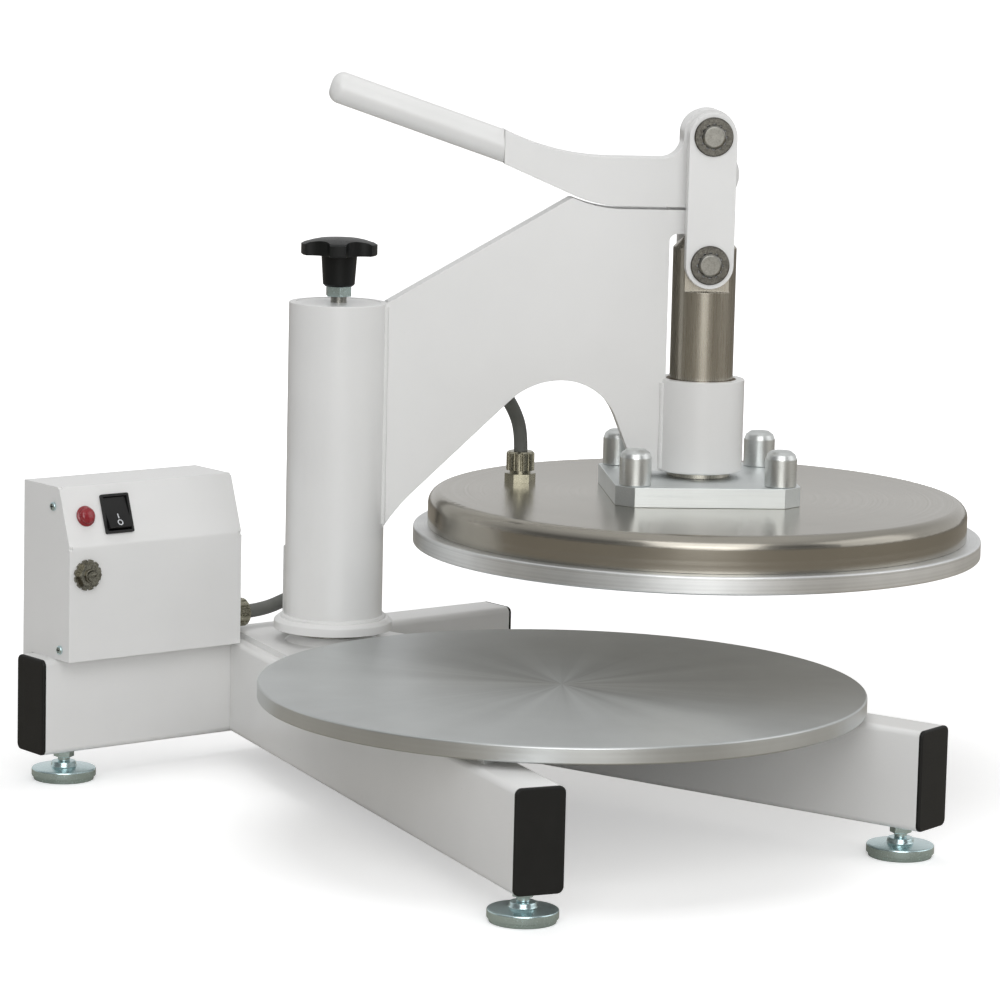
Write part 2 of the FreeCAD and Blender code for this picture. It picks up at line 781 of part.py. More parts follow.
def arm_outline():
    """Side outline of the arm plate, from the foot of its front leg and round its nose."""
    sleeve_r = SLEEVE_D / 2
    inside = sleeve_r - ARM_ROOT_LAP
    nose_low = RAM_TOP + NOSE_RELIEF
    slot = ARM_REACH - RAM_D / 2 - RAM_SLOT_GAP
    nose = ARM_REACH - NOSE_FROM_RAM
    under_x, under_z, under_r, top = peak()
    foot = ARM_REACH - GUIDE_D / 2 - UNDER_FOOT_IN
    arch_x = ARM_REACH - ARCH_FROM_RAM
    arch_top = GUIDE_BOTTOM + ARCH_RISE

    outline = Outline(foot, GUIDE_BOTTOM)
    outline.line(slot, GUIDE_BOTTOM)
    outline.arc(slot + SLOT_CORNER, nose_low - SLOT_CORNER, SLOT_CORNER, 180, 90)
    outline.line(nose, nose_low)
    outline.line(nose, NOSE_TOP)
    outline.arc(under_x, under_z, under_r, 270, 270 - ARM_PEAK_ANGLE)
    top_start = SLEEVE_TOP + ARM_TOP_PROUD
    slope = (top.z - top_start) / (top.x - sleeve_r)
    outline.line(inside, top_start - slope * (sleeve_r - inside))

    rise = math.radians(ARM_RISE_ANGLE)
    back_z = arch_top - ARCH_R_BACK
    tangent_x = arch_x - ARCH_R_BACK * math.sin(rise)
    tangent_z = back_z + ARCH_R_BACK * math.cos(rise)
    root_x = sleeve_r + ARM_ROOT_RUN
    root_z = tangent_z - (tangent_x - root_x) * math.tan(rise)
    centre_x = root_x + ARM_ROOT_R * math.sin(rise)
    centre_z = root_z - ARM_ROOT_R * math.cos(rise)
    root_start = math.degrees(math.acos((inside - centre_x) / ARM_ROOT_R))
    outline.arc(centre_x, centre_z, ARM_ROOT_R, root_start, 90 + ARM_RISE_ANGLE)
    outline.arc(arch_x, back_z, ARCH_R_BACK, 90 + ARM_RISE_ANGLE, 90)
    outline.arc(arch_x, arch_top - ARCH_R_FRONT, ARCH_R_FRONT, 90, 90 - ARM_FRONT_ANGLE)
    return outline


def round_cross_edge(shape, radius, x, z):
    """Rounds the edge that runs across the arm at one point of its outline."""
    edges = []
    for edge in shape.Edges:
        middle = edge.CenterOfMass
        if edge.BoundBox.YLength > 1 and abs(middle.x - x) < 0.01 and abs(middle.z - z) < 0.01:
            edges.append(edge)
    return shape.makeFillet(radius, edges)


def tongue():
    """Narrow tongue that rises from the nose and holds the handle's pivot pin."""
    half = TONGUE_T / 2
    head = crossbar(TONGUE_R, -half, half, ARM_REACH, PIVOT_Z)
    front = ARM_REACH - NOSE_FROM_RAM
    back = ARM_REACH - TONGUE_BACK
    reach = math.sqrt(TONGUE_R ** 2 - TONGUE_TOP_DROP ** 2)
    shank = Outline(ARM_REACH - reach, PIVOT_Z - TONGUE_TOP_DROP)
    shank.line(back, PIVOT_Z - TONGUE_BEND_DROP)
    shank.line(back, NOSE_TOP - SLOT_CORNER)
    shank.line(front, NOSE_TOP - SLOT_CORNER)
    shank.line(front, NOSE_TOP)
    shank.line(ARM_REACH - TONGUE_TOP_DROP, PIVOT_Z - reach)
    return head.fuse(shank.slab(-half, half))


def arm():
    half = PLATE_T / 2
    corner = peak()[3]
    plate = arm_outline().slab(-half, half)
    plate = round_cross_edge(plate, ARM_PEAK_ROUND, corner.x, corner.z)
    plate = plate.fuse(tongue()).removeSplitter()
    plate = plate.cut(upright(SLEEVE_D / 2, SLEEVE_BOTTOM - 1, CRANK_PIN_Z))
    plate = plate.cut(upright(GUIDE_D / 2, GUIDE_BOTTOM - 1, GUIDE_TOP, ARM_REACH))
    plate = plate.cut(crossbar(PIVOT_D / 2, -half, half, ARM_REACH, PIVOT_Z))
    save("arm_plate", at_arm(plate))

    pin = crossbar(PIVOT_D / 2, -HANDLE_T / 2 - PIVOT_PROUD, HANDLE_T / 2 + PIVOT_PROUD, ARM_REACH, PIVOT_Z)
    save("pivot_pin", at_arm(pin))

    bore = RAM_D / 2 + RAM_BUSHING_WALL
    guide = ring(GUIDE_D / 2, bore, GUIDE_BOTTOM, GUIDE_TOP, ARM_REACH)
    guide = round_edges_at_radius(guide, GUIDE_EDGE, GUIDE_D / 2, GUIDE_BOTTOM)
    save("guide_collar", at_arm(guide))
    length = GUIDE_H / 3
    bushings = []
    for low in (GUIDE_BOTTOM, GUIDE_TOP - length):
        bushings.append(at_arm(ring(bore, RAM_D / 2 + RUNNING, low, low + length, ARM_REACH)))
    save("ram_bushings", bushings)


def handle():
    """Lever plate forked round the arm's tongue, with a round bar grip welded to its end."""
    half = HANDLE_T / 2
    top_z = HANDLE_UNDER_Z + HANDLE_NECK
    flat_x = ARM_REACH - HANDLE_TOP_BACK
    under_x = ARM_REACH - HANDLE_FLAT_BACK
    end_x = ARM_REACH - HANDLE_BACK
    reach = (CRANK_R ** 2 + CHEEK_R ** 2 - HUMP_R ** 2) / (2 * CRANK_R)
    cross = math.degrees(math.asin(reach / CHEEK_R))
    hump_cross = math.degrees(math.atan2(reach - CRANK_R, math.sqrt(CHEEK_R ** 2 - reach ** 2)))
    neck_z = top_z + HUMP_BLEND
    neck_x = ARM_REACH - HUMP_R - HUMP_BLEND

    end_top = math.degrees(math.asin((flat_x - end_x) / HANDLE_TOP_R))
    end_top_z = top_z + HANDLE_TOP_R * (1 - math.cos(math.radians(end_top)))
    turn = math.radians(HANDLE_UNDER_ANGLE)
    tangent_x = under_x - HANDLE_UNDER_R * math.sin(turn)
    tangent_z = HANDLE_UNDER_Z + HANDLE_UNDER_R * (1 - math.cos(turn))
    end_under_z = tangent_z + (tangent_x - end_x) * math.tan(turn)
    flat = math.hypot(CHEEK_FLAT_BACK, HANDLE_UNDER_DROP)
    lean = math.degrees(math.atan2(CHEEK_FLAT_BACK, HANDLE_UNDER_DROP))
    cheek_start = -90 - lean + math.degrees(math.acos(CHEEK_R / flat))
    outline = Outline(ARM_REACH - CHEEK_FLAT_BACK, HANDLE_UNDER_Z)
    outline.arc(ARM_REACH, PIVOT_Z, CHEEK_R, cheek_start, cross)
    outline.arc(ARM_REACH, CRANK_PIN_Z, HUMP_R, hump_cross, 180)
    outline.line(ARM_REACH - HUMP_R, neck_z)
    outline.arc(neck_x, neck_z, HUMP_BLEND, 0, -90)
    outline.arc(flat_x, top_z + HANDLE_TOP_R, HANDLE_TOP_R, 270, 270 - end_top)
    outline.line(end_x, end_under_z)
    outline.arc(under_x, HANDLE_UNDER_Z + HANDLE_UNDER_R, HANDLE_UNDER_R, 270 - HANDLE_UNDER_ANGLE, 270)
    plate = outline.slab(-half, half)

    fork = TONGUE_T / 2 + FORK_GAP
    head = crossbar(TONGUE_R + FORK_CLEARANCE, -fork, fork, ARM_REACH, PIVOT_Z)
    sweep = Outline(ARM_REACH, PIVOT_Z)
    sweep.arc(ARM_REACH, PIVOT_Z, FORK_SWEEP_R, FORK_SWEEP_START, FORK_SWEEP_END)
    plate = plate.cut(head.fuse(sweep.slab(-fork, fork)))
    plate = plate.cut(crossbar(PIVOT_D / 2 + RUNNING, -half, half, ARM_REACH, PIVOT_Z))
    plate = plate.cut(crossbar(PIN_D / 2, -half, half, ARM_REACH, CRANK_PIN_Z))
    save("handle_plate", at_arm(plate))

    along = polar(1, 180 - GRIP_ANGLE)
    along = Vector(along.x, 0, along.y)
    weld = Vector(end_x, 0, (end_top_z + end_under_z) / 2)
    bar = rod(GRIP_D / 2, weld.sub(Vector(along).multiply(GRIP_D)), weld.add(Vector(along).multiply(GRIP_L)))
    far = min(bar.Edges, key=lambda edge: edge.CenterOfMass.x)
    bar = bar.makeFillet(GRIP_ROUND, [far])
    plate_side = block(end_x, end_x + 2 * GRIP_D, -GRIP_D, GRIP_D, NOSE_TOP - GRIP_D, CRANK_PIN_Z + GRIP_L)
    save("handle_grip", at_arm(bar.cut(plate_side)))


def pin_ring(side, height):
    """Retaining ring with teeth round its bore, on one end of a pin across the links."""
    low = LINK_OUT + RING_GAP
    y0 = low if side > 0 else -low - RING_T
    body = crossbar(RING_D / 2, y0, y0 + RING_T, ARM_REACH, height)
    face = side * (low + RING_T)
    body = body.makeChamfer(RING_EDGE, end_edges(body, (face,)))
    body = body.cut(crossbar(PIN_D / 2, y0 - 1, y0 + RING_T + 1, ARM_REACH, height))
    for tooth in range(RING_TEETH):
        place = polar(PIN_D / 2, 360.0 * tooth / RING_TEETH)
        slot = crossbar(RING_SLOT_R, y0 - 1, y0 + RING_T + 1, ARM_REACH + place.x, height + place.y)
        body = body.cut(slot)
    return body


def end_edges(bar, ends):
    """Round edges of a bar along Y at the given ends."""
    found = []
    for edge in bar.Edges:
        box = edge.BoundBox
        if box.YLength < 1e-6 and min(abs(box.YMin - end) for end in ends) < 1e-6:
            found.append(edge)
    return found


def crank_and_links():
    pin = crossbar(PIN_D / 2, -PIN_END, PIN_END, ARM_REACH, CRANK_PIN_Z)
    save("crank_pin", at_arm(pin.makeChamfer(PIN_CHAMFER, end_edges(pin, (-PIN_END, PIN_END)))))
    save("crank_pin_rings", [at_arm(pin_ring(side, CRANK_PIN_Z)) for side in (-1, 1)])
    spacers = []
    for side in (-1, 1):
        inner = HANDLE_T / 2
        outer = LINK_IN - FIT_GAP
        y0 = inner if side > 0 else -outer
        spacer = crossbar(SPACER_D / 2, y0, y0 + outer - inner, ARM_REACH, CRANK_PIN_Z)
        hole = crossbar(PIN_D / 2, -PIN_END, PIN_END, ARM_REACH, CRANK_PIN_Z)
        spacers.append(at_arm(spacer.cut(hole)))
    save("link_spacers", spacers)

    links = []
    ends = []
    rings = []
    for side in (-1, 1):
        y0 = LINK_IN if side > 0 else -LINK_OUT
        link = Outline(ARM_REACH + LINK_W / 2, LOWER_PIN_Z)
        link.arc(ARM_REACH, CRANK_PIN_Z, LINK_W / 2, 0, 180)
        link.arc(ARM_REACH, LOWER_PIN_Z, LINK_W / 2, 180, 360)
        plate = link.slab(y0, y0 + LINK_T)
        plate = plate.cut(crossbar(PIN_D / 2 + RUNNING, y0 - 1, y0 + LINK_T + 1, ARM_REACH, CRANK_PIN_Z))
        plate = plate.cut(crossbar(PIN_D / 2, y0 - 1, y0 + LINK_T + 1, ARM_REACH, LOWER_PIN_Z))
        links.append(at_arm(plate))
        end0 = LINK_IN if side > 0 else -PIN_END
        end = crossbar(PIN_D / 2, end0, end0 + PIN_END - LINK_IN, ARM_REACH, LOWER_PIN_Z)
        ends.append(at_arm(end.makeChamfer(PIN_CHAMFER, end_edges(end, (side * PIN_END,)))))
        rings.append(at_arm(pin_ring(side, LOWER_PIN_Z)))
    save("links", links)
    save("lower_pin_ends", ends)
    save("lower_pin_rings", rings)


def ram():
    """Round ram with two flats at its top for the links and a spigot in the mounting block."""
    radius = RAM_D / 2
    bar = upright(radius, BLOCK_TOP, RAM_TOP, ARM_REACH)
    top_edge = [edge for edge in bar.Edges if abs(edge.BoundBox.ZMin - RAM_TOP) < 1e-4]
    bar = bar.makeChamfer(RAM_CHAMFER, top_edge)
    half = RAM_FLAT_W / 2
    for y0 in (-half - radius, half):
        flat = block(-radius - 1, radius + 1, y0, y0 + radius, RAM_SHOULDER, RAM_TOP + 1)
        flat.translate(Vector(ARM_REACH, 0, 0))
        bar = bar.cut(flat)
    bar = bar.fuse(upright(RAM_SPIGOT_D / 2, PAN_TOP, BLOCK_TOP, ARM_REACH)).removeSplitter()
    bar = bar.cut(crossbar(PIN_D / 2, -half, half, ARM_REACH, LOWER_PIN_Z))
    save("ram", at_arm(bar))
    save("ram_cross_pin", at_arm(crossbar(PIN_D / 2, -half, half, ARM_REACH, LOWER_PIN_Z)))


def stud_places():
    half = STUD_PITCH / 2
    return [(ARM_REACH + sx * half, sy * half) for sx in (-1, 1) for sy in (-1, 1)]


def upper_platen():
    half = BLOCK_W / 2
    body = block(ARM_REACH - half, ARM_REACH + half, -half, half, PAN_TOP, BLOCK_TOP)
    body = body.makeChamfer(BLOCK_CORNER, vertical_edges(body))
    body = body.cut(upright(RAM_SPIGOT_D / 2, PAN_TOP - 1, BLOCK_TOP + 1, ARM_REACH))

    plate = upright(PLATEN_D / 2, DAYLIGHT, UPPER_TOP, ARM_REACH)
    plate = plate.makeChamfer(PLATEN_CHAMFER, [edge for edge in plate.Edges if edge.BoundBox.XLength > half])
    inner = PAN_D / 2 - PAN_WALL
    pan = upright(PAN_D / 2, UPPER_TOP, PAN_TOP, ARM_REACH)
    pan = round_edges_at_radius(pan, PAN_ROUND, PAN_D / 2, PAN_TOP)
    hollow = upright(inner, UPPER_TOP - PAN_WALL, PAN_TOP - PAN_WALL, ARM_REACH)
    hollow = round_edges_at_radius(hollow, PAN_ROUND - PAN_WALL, inner, PAN_TOP - PAN_WALL)
    pan = pan.cut(hollow)

    studs = []
    caps = []
    standoffs = []
    stud_r = STUD_D / 2
    stud_top = BLOCK_TOP + STUD_IN_CAP
    for x, y in stud_places():
        hole = upright(stud_r + RUNNING, UPPER_TOP - STUD_DEPTH, stud_top, x, y)
        body = body.cut(hole)
        pan = pan.cut(hole)
        plate = plate.cut(hole)
        studs.append(at_arm(upright(stud_r, UPPER_TOP - STUD_DEPTH, stud_top, x, y)))
        top = BLOCK_TOP + CAP_NUT_H
        radius = CAP_NUT_D / 2
        cap = turned([
            (stud_r + RUNNING, BLOCK_TOP),
            (radius - CAP_NUT_EDGE, BLOCK_TOP),
            (radius, BLOCK_TOP + CAP_NUT_EDGE),
            (radius, top - CAP_NUT_DOME),
            (radius * 0.88, top - CAP_NUT_DOME * 0.45),
            (radius * 0.60, top - CAP_NUT_DOME * 0.12),
            (0, top),
            (0, stud_top),
            (stud_r + RUNNING, stud_top),
        ], x, y)
        caps.append(at_arm(cap))
        standoff = ring(STANDOFF_D / 2, stud_r + RUNNING, UPPER_TOP, PAN_TOP - PAN_WALL, x, y)
        standoffs.append(at_arm(standoff))
    gland_x = ARM_REACH - GLAND_FROM_RAM
    pan = pan.cut(upright(GLAND_NECK_D / 2, PAN_TOP - PAN_WALL - 1, PAN_TOP + 1, gland_x, GLAND_SIDE))
    save("mounting_block", at_arm(body))
    save("heated_platen", at_arm(plate))
    save("platen_cover", at_arm(pan))
    save("block_studs", studs)
    save("stud_caps", caps)
    save("platen_standoffs", standoffs)

    element_r = ELEMENT_D / 2
    element_z = UPPER_TOP + ELEMENT_LIFT
    rings = []
    for turn in range(ELEMENT_RINGS):
        radius = ELEMENT_INNER_R + turn * ELEMENT_PITCH
        torus = Part.makeTorus(radius, element_r, Vector(ARM_REACH, 0, element_z))
        rings.append(at_arm(torus))
    save("heating_element", rings)

    gland = gland_along(GLAND_H, PAN_WALL)
    gland.translate(Vector(gland_x, GLAND_SIDE, PAN_TOP))
    save("platen_gland", at_arm(gland))


BOX_LEFT = BOX_RIGHT - BOX_W
BOX_BOTTOM = TUBE_TOP
BOX_TOP = BOX_BOTTOM + BOX_H
BOX_FRONT = ARM_REACH + REAR_TUBE_BEHIND - TUBE_W / 2 - BOX_OVERHANG
BOX_BACK = BOX_FRONT + BOX_D
BOX_BEND = BOX_BOTTOM + BOX_FRONT_H
SLOPE_ANGLE = math.degrees(math.atan2(BOX_TOP - BOX_BEND, BOX_TOP_SETBACK))


def box_prism(front, rest, x0, x1):
    """Box body inset by one amount at front, slope and top, and by another at back and bottom."""
    turn = math.radians(SLOPE_ANGLE)
    y = BOX_FRONT + front
    z = BOX_TOP - front
    line_y = BOX_FRONT + front * math.sin(turn)
    line_z = BOX_BEND - front * math.cos(turn)
    bend_z = line_z + (y - line_y) * math.tan(turn)
    top_y = line_y + (z - line_z) / math.tan(turn)
    corners = [
        (y, BOX_BOTTOM + rest),
        (y, bend_z),
        (top_y, z),
        (BOX_BACK - rest, z),
        (BOX_BACK - rest, BOX_BOTTOM + rest),
    ]
    points = [Vector(x0, py, pz) for py, pz in corners]
    return Part.Face(Part.makePolygon(points + points[:1])).extrude(Vector(x1 - x0, 0, 0))


def on_front(shape, up):
    """Takes a shape made on the XY plane to the box's upright front, up above its bottom."""
    placed = shape.copy()
    placed.rotate(ORIGIN, Vector(1, 0, 0), 90)
    placed.translate(Vector(0, BOX_FRONT, BOX_BOTTOM + up))
    return placed


def on_slope(shape, up):
    """Takes a shape made on the XY plane to the box's sloping panel, up above the bend."""
    placed = shape.copy()
    placed.translate(Vector(0, up, 0))
    placed.rotate(ORIGIN, Vector(1, 0, 0), SLOPE_ANGLE)
    placed.translate(Vector(0, BOX_FRONT, BOX_BEND))
    return placed


def screw_places():
    """Side screws of the box as (side, Y, Z), through the cover's flanges."""
    high = BOX_TOP - BOX_SCREW_DOWN
    setback = (high - BOX_BEND) / math.tan(math.radians(SLOPE_ANGLE))
    front = BOX_FRONT + BOX_SCREW_BACK
    places = [(front, BOX_BOTTOM + BOX_SCREW_UP), (front + setback, high)]
    return [(side, y, z) for side in (-1, 1) for y, z in places]


def box_skirt():
    """Flange round the box's overhang, hanging down behind the rear tube."""
    wall = BOX_WALL
    front = ARM_REACH + REAR_TUBE_BEHIND + TUBE_W / 2 + FIT_GAP
    low = BOX_BOTTOM - BOX_SKIRT
    outer = block(BOX_LEFT, BOX_RIGHT, front, BOX_BACK, low, BOX_BOTTOM)
    inner = block(BOX_LEFT + wall, BOX_RIGHT - wall, front - 1, BOX_BACK - wall, low - 1, BOX_BOTTOM + 1)
    return outer.cut(inner)


def control_box():
    wall = BOX_WALL
    base = box_prism(wall, 0, BOX_LEFT, BOX_RIGHT)
    base = base.cut(box_prism(0, wall, BOX_LEFT + wall, BOX_RIGHT - wall))
    cover = box_prism(0, 0, BOX_LEFT, BOX_RIGHT)
    cover = cover.cut(box_prism(wall, -1, BOX_LEFT - 1, BOX_RIGHT + 1))
    for x0 in (BOX_LEFT + wall, BOX_RIGHT - 2 * wall):
        flange = box_prism(wall, wall, x0, x0 + wall)
        flange = flange.cut(box_prism(BOX_FLANGE, -1, x0 - 1, x0 + wall + 1))
        cover = cover.fuse(flange)
    cover = cover.removeSplitter()
    for x in (BOX_LEFT, BOX_RIGHT):
        for y, z in ((BOX_FRONT, BOX_BEND), (BOX_FRONT + BOX_TOP_SETBACK, BOX_TOP)):
            cover = cover.cut(rod(BOX_NOTCH_R, Vector(x - 2 * wall, y, z), Vector(x + 2 * wall, y, z)))
    base = base.fuse(box_skirt()).removeSplitter()

    screws = []
    for side, y, z in screw_places():
        face = BOX_RIGHT if side > 0 else BOX_LEFT
        inner = Vector(face - side * BOX_SCREW_L, y, z)
        outer = Vector(face + side * BOX_SCREW_HEAD_H, y, z)
        hole = rod(BOX_SCREW_D / 2, inner, outer)
        base = base.cut(hole)
        cover = cover.cut(hole)
        shank = rod(BOX_SCREW_D / 2, inner, Vector(face, y, z))
        head = rod(BOX_SCREW_HEAD_D / 2, Vector(face, y, z), outer)
        rim = [edge for edge in head.Edges if abs(edge.CenterOfMass.x - outer.x) < 1e-6]
        screws.append(shank.fuse(head.makeFillet(BOX_SCREW_HEAD_H * 0.6, rim)))
    save("cover_screws", screws)

    up = PANEL_ITEM_UP
    lamp_body = LAMP_BODY_D / 2
    cover = cover.cut(on_slope(upright(lamp_body, -5, 5, LAMP_X), up))
    body_w = SWITCH_W - 2 * PANEL_CLEARANCE
    body_h = SWITCH_H - 2 * PANEL_CLEARANCE
    opening = block(SWITCH_X - body_w / 2, SWITCH_X + body_w / 2, -body_h / 2, body_h / 2, -5, 5)
    cover = cover.cut(on_slope(opening, up))
    bush = THERMO_BUSH_D / 2
    cover = cover.cut(on_front(upright(bush, -5, 5, THERMO_X), THERMO_UP))
    side_y = BOX_FRONT + BOX_D / 2
    side_z = BOX_BOTTOM + BOX_GLAND_UP
    neck = GLAND_NECK_D / 2
    base = base.cut(rod(neck, Vector(BOX_RIGHT - 5, side_y, side_z), Vector(BOX_RIGHT + 5, side_y, side_z)))
    mains_z = BOX_BOTTOM + MAINS_GLAND_UP
    mains = Vector(MAINS_GLAND_X, BOX_BACK, mains_z)
    base = base.cut(rod(neck, mains.sub(Vector(0, 5, 0)), mains.add(Vector(0, 5, 0))))
    save("control_box_base", base)
    save("control_box_cover", cover)
    panel_items(up, lamp_body, body_w, body_h, bush)

    side_gland = gland_along(BOX_GLAND_L, wall)
    side_gland.rotate(ORIGIN, Vector(0, 1, 0), 90)
    side_gland.translate(Vector(BOX_RIGHT, side_y, side_z))
    bore = upright(MAINS_BORE_D / 2, -wall - GLAND_THREAD_L - 1, BOX_GLAND_L + 1)
    mains_gland = gland_along(BOX_GLAND_L, wall).cut(bore)
    mains_gland.rotate(ORIGIN, Vector(1, 0, 0), -90)
    mains_gland.translate(mains)
    save("box_glands", [side_gland, mains_gland])


def gland_along(length, wall):
    """Cable gland on the XY plane, its fluted cap up along Z and its thread and nut below a wall."""
    cap_r = GLAND_CAP_D / 2
    cap_low = length - GLAND_CAP_H
    body = hexagon(GLAND_HEX_AF, 0, GLAND_HEX_H)
    cap = turned([
        (0, cap_low),
        (cap_r, cap_low),
        (cap_r, length - GLAND_CAP_EDGE),
        (cap_r - GLAND_CAP_EDGE, length),
        (0, length),
    ])
    for flute in range(GLAND_CAP_FLUTES):
        place = polar(cap_r, 360.0 * flute / GLAND_CAP_FLUTES)
        cap = cap.cut(upright(GLAND_FLUTE_R, cap_low - 1, length + 1, place.x, place.y))
    neck = upright(GLAND_NECK_D / 2, -wall - GLAND_THREAD_L, cap_low)
    nut = hexagon(GLAND_HEX_AF, -wall - GLAND_NUT_T, -wall)
    return body.fuse(cap).fuse(neck).fuse(nut).removeSplitter()


def panel_items(up, lamp_body, body_w, body_h, bush):
    bezel = LAMP_BEZEL_D / 2
    lens = LAMP_LENS_D / 2
    lamp = turned([
        (0, -LAMP_L),
        (lamp_body, -LAMP_L),
        (lamp_body, 0),
        (bezel, 0),
        (bezel, LAMP_BEZEL_T / 2),
        (lens + FIT_GAP, LAMP_BEZEL_T),
        (lens, LAMP_BEZEL_T),
        (lens, LAMP_LENS_H * 0.64),
        (lens * 0.8, LAMP_LENS_H * 0.85),
        (lens * 0.4, LAMP_LENS_H * 0.97),
        (0, LAMP_LENS_H),
    ], LAMP_X)
    save("indicator_lamp", on_slope(lamp, up))

    rim = SWITCH_RIM
    half_w = SWITCH_W / 2
    half_h = SWITCH_H / 2
    bezel = block(SWITCH_X - half_w, SWITCH_X + half_w, -half_h, half_h, 0, SWITCH_BEZEL_T)
    bezel = bezel.makeFillet(SWITCH_CORNER, vertical_edges(bezel))
    body = block(SWITCH_X - body_w / 2, SWITCH_X + body_w / 2, -body_h / 2, body_h / 2, -SWITCH_BODY_D, 0)
    well_w = half_w - rim
    well_h = half_h - rim
    well = block(-well_w, well_w, -well_h, well_h, -SWITCH_BODY_D / 2, SWITCH_BEZEL_T + 1)
    well.translate(Vector(SWITCH_X, 0, 0))
    pin = ROCKER_PIN_D / 2
    pin_x = well_w + rim / 2
    middle = Vector(SWITCH_X, 0, -ROCKER_DEPTH)
    trunnion = rod(pin, middle.sub(Vector(pin_x, 0, 0)), middle.add(Vector(pin_x, 0, 0)))
    socket_x = Vector(pin_x + FIT_GAP, 0, 0)
    sockets = rod(pin + RUNNING, middle.sub(socket_x), middle.add(socket_x))
    save("switch_housing", on_slope(bezel.fuse(body).removeSplitter().cut(well).cut(sockets), up))

    length = well_h - ROCKER_GAP * 2
    points = [
        (-length, -ROCKER_ROOT),
        (length, -ROCKER_ROOT),
        (length, ROCKER_END_H),
        (0, ROCKER_MIDDLE_H),
        (-length, ROCKER_END_H),
    ]
    x0 = SWITCH_X - well_w + ROCKER_GAP
    corners = [Vector(x0, y, z) for y, z in points]
    width = 2 * (well_w - ROCKER_GAP)
    rocker = Part.Face(Part.makePolygon(corners + corners[:1])).extrude(Vector(width, 0, 0))
    swing = rod(well_h - ROCKER_GAP, Vector(SWITCH_X - half_w, 0, 0), Vector(SWITCH_X + half_w, 0, 0))
    rocker = rocker.common(swing)
    rocker.rotate(ORIGIN, Vector(1, 0, 0), -ROCKER_TILT)
    rocker.translate(Vector(0, 0, -ROCKER_DEPTH))
    save("switch_rocker", on_slope(rocker.fuse(trunnion), up))

    stem = THERMO_STEM_D / 2
    half = THERMO_BODY_W / 2
    bush_top = THERMO_BEZEL_T + THERMO_BUSH_PROUD
    stem_top = THERMO_BEZEL_T + THERMO_STEM_PROUD
    stem_low = -BOX_WALL - THERMO_STEM_IN
    body = block(THERMO_X - half, THERMO_X + half, -half, half, -BOX_WALL - THERMO_BODY_L, -BOX_WALL)
    body = body.fuse(upright(bush, -BOX_WALL, bush_top, THERMO_X)).removeSplitter()
    body = body.cut(upright(stem + RUNNING, stem_low - FIT_GAP, stem_top, THERMO_X))
    save("thermostat_body", on_front(body, THERMO_UP))
    washer = ring(THERMO_BEZEL_D / 2, bush, 0, THERMO_WASHER_T, THERMO_X)
    for notch in range(THERMO_NOTCHES):
        place = polar(THERMO_BEZEL_D / 2, 360.0 * notch / THERMO_NOTCHES)
        washer = washer.cut(upright(THERMO_NOTCH_R, -1, THERMO_WASHER_T + 1, THERMO_X + place.x, place.y))
    nut = hexagon(THERMO_NUT_AF, THERMO_WASHER_T, THERMO_BEZEL_T, THERMO_X)
    nut = nut.cut(upright(bush, 0, bush_top, THERMO_X))
    save("thermostat_bezel", on_front(washer.fuse(nut), THERMO_UP))
    post = upright(stem, stem_low, stem_top, THERMO_X)
    width = THERMO_SLOT_W / 2
    slot = block(THERMO_X - stem, THERMO_X + stem, -width, width, stem_top - THERMO_SLOT_DEPTH, stem_top + 1)
    save("thermostat_stem", on_front(post.cut(slot), THERMO_UP))


def column_route():
    """Cable route from the box round the column, as far as the arm plate."""
    side_y = BOX_FRONT + BOX_D / 2
    side_z = BOX_BOTTOM + BOX_GLAND_UP
    start = BOX_RIGHT + BOX_GLAND_L
    c = ARM_REACH
    return [
        Vector(start, side_y, side_z),
        Vector(start + 19, side_y, side_z),
        Vector(14, c + 80, 8),
        Vector(40, c + 74, 18),
        Vector(58, c + 58, 34),
        Vector(64, c + 38, 54),
        Vector(57, c + 22, 74),
        Vector(47, c + 9.8, 94),
    ]


def arm_route():
    """Cable route in the arm's own frame, up the arm plate's far side and down to the platen."""
    side = CABLE_SIDE
    gland_x = ARM_REACH - GLAND_FROM_RAM
    gland_top = PAN_TOP + GLAND_H
    return [
        Vector(50, side, 138),
        Vector(56, side, 180),
        Vector(72, side, 203),
        Vector(95, side + 1, 211),
        Vector(118, side + 5, 203),
        Vector(134, side + 14, 188),
        Vector(147, GLAND_SIDE - 12, 169),
        Vector(gland_x, GLAND_SIDE, gland_top + 16),
        Vector(gland_x, GLAND_SIDE, gland_top),
    ]


def from_arm(point):
    turned_point = Part.Vertex(point)
    turned_point.rotate(ORIGIN, Z_AXIS, ARM_ANGLE)
    turned_point.translate(COLUMN)
    return turned_point.Point


def between(a, b, share):
    """Point at a share of the way from a to b."""
    return a.add(b.sub(a).multiply(share))


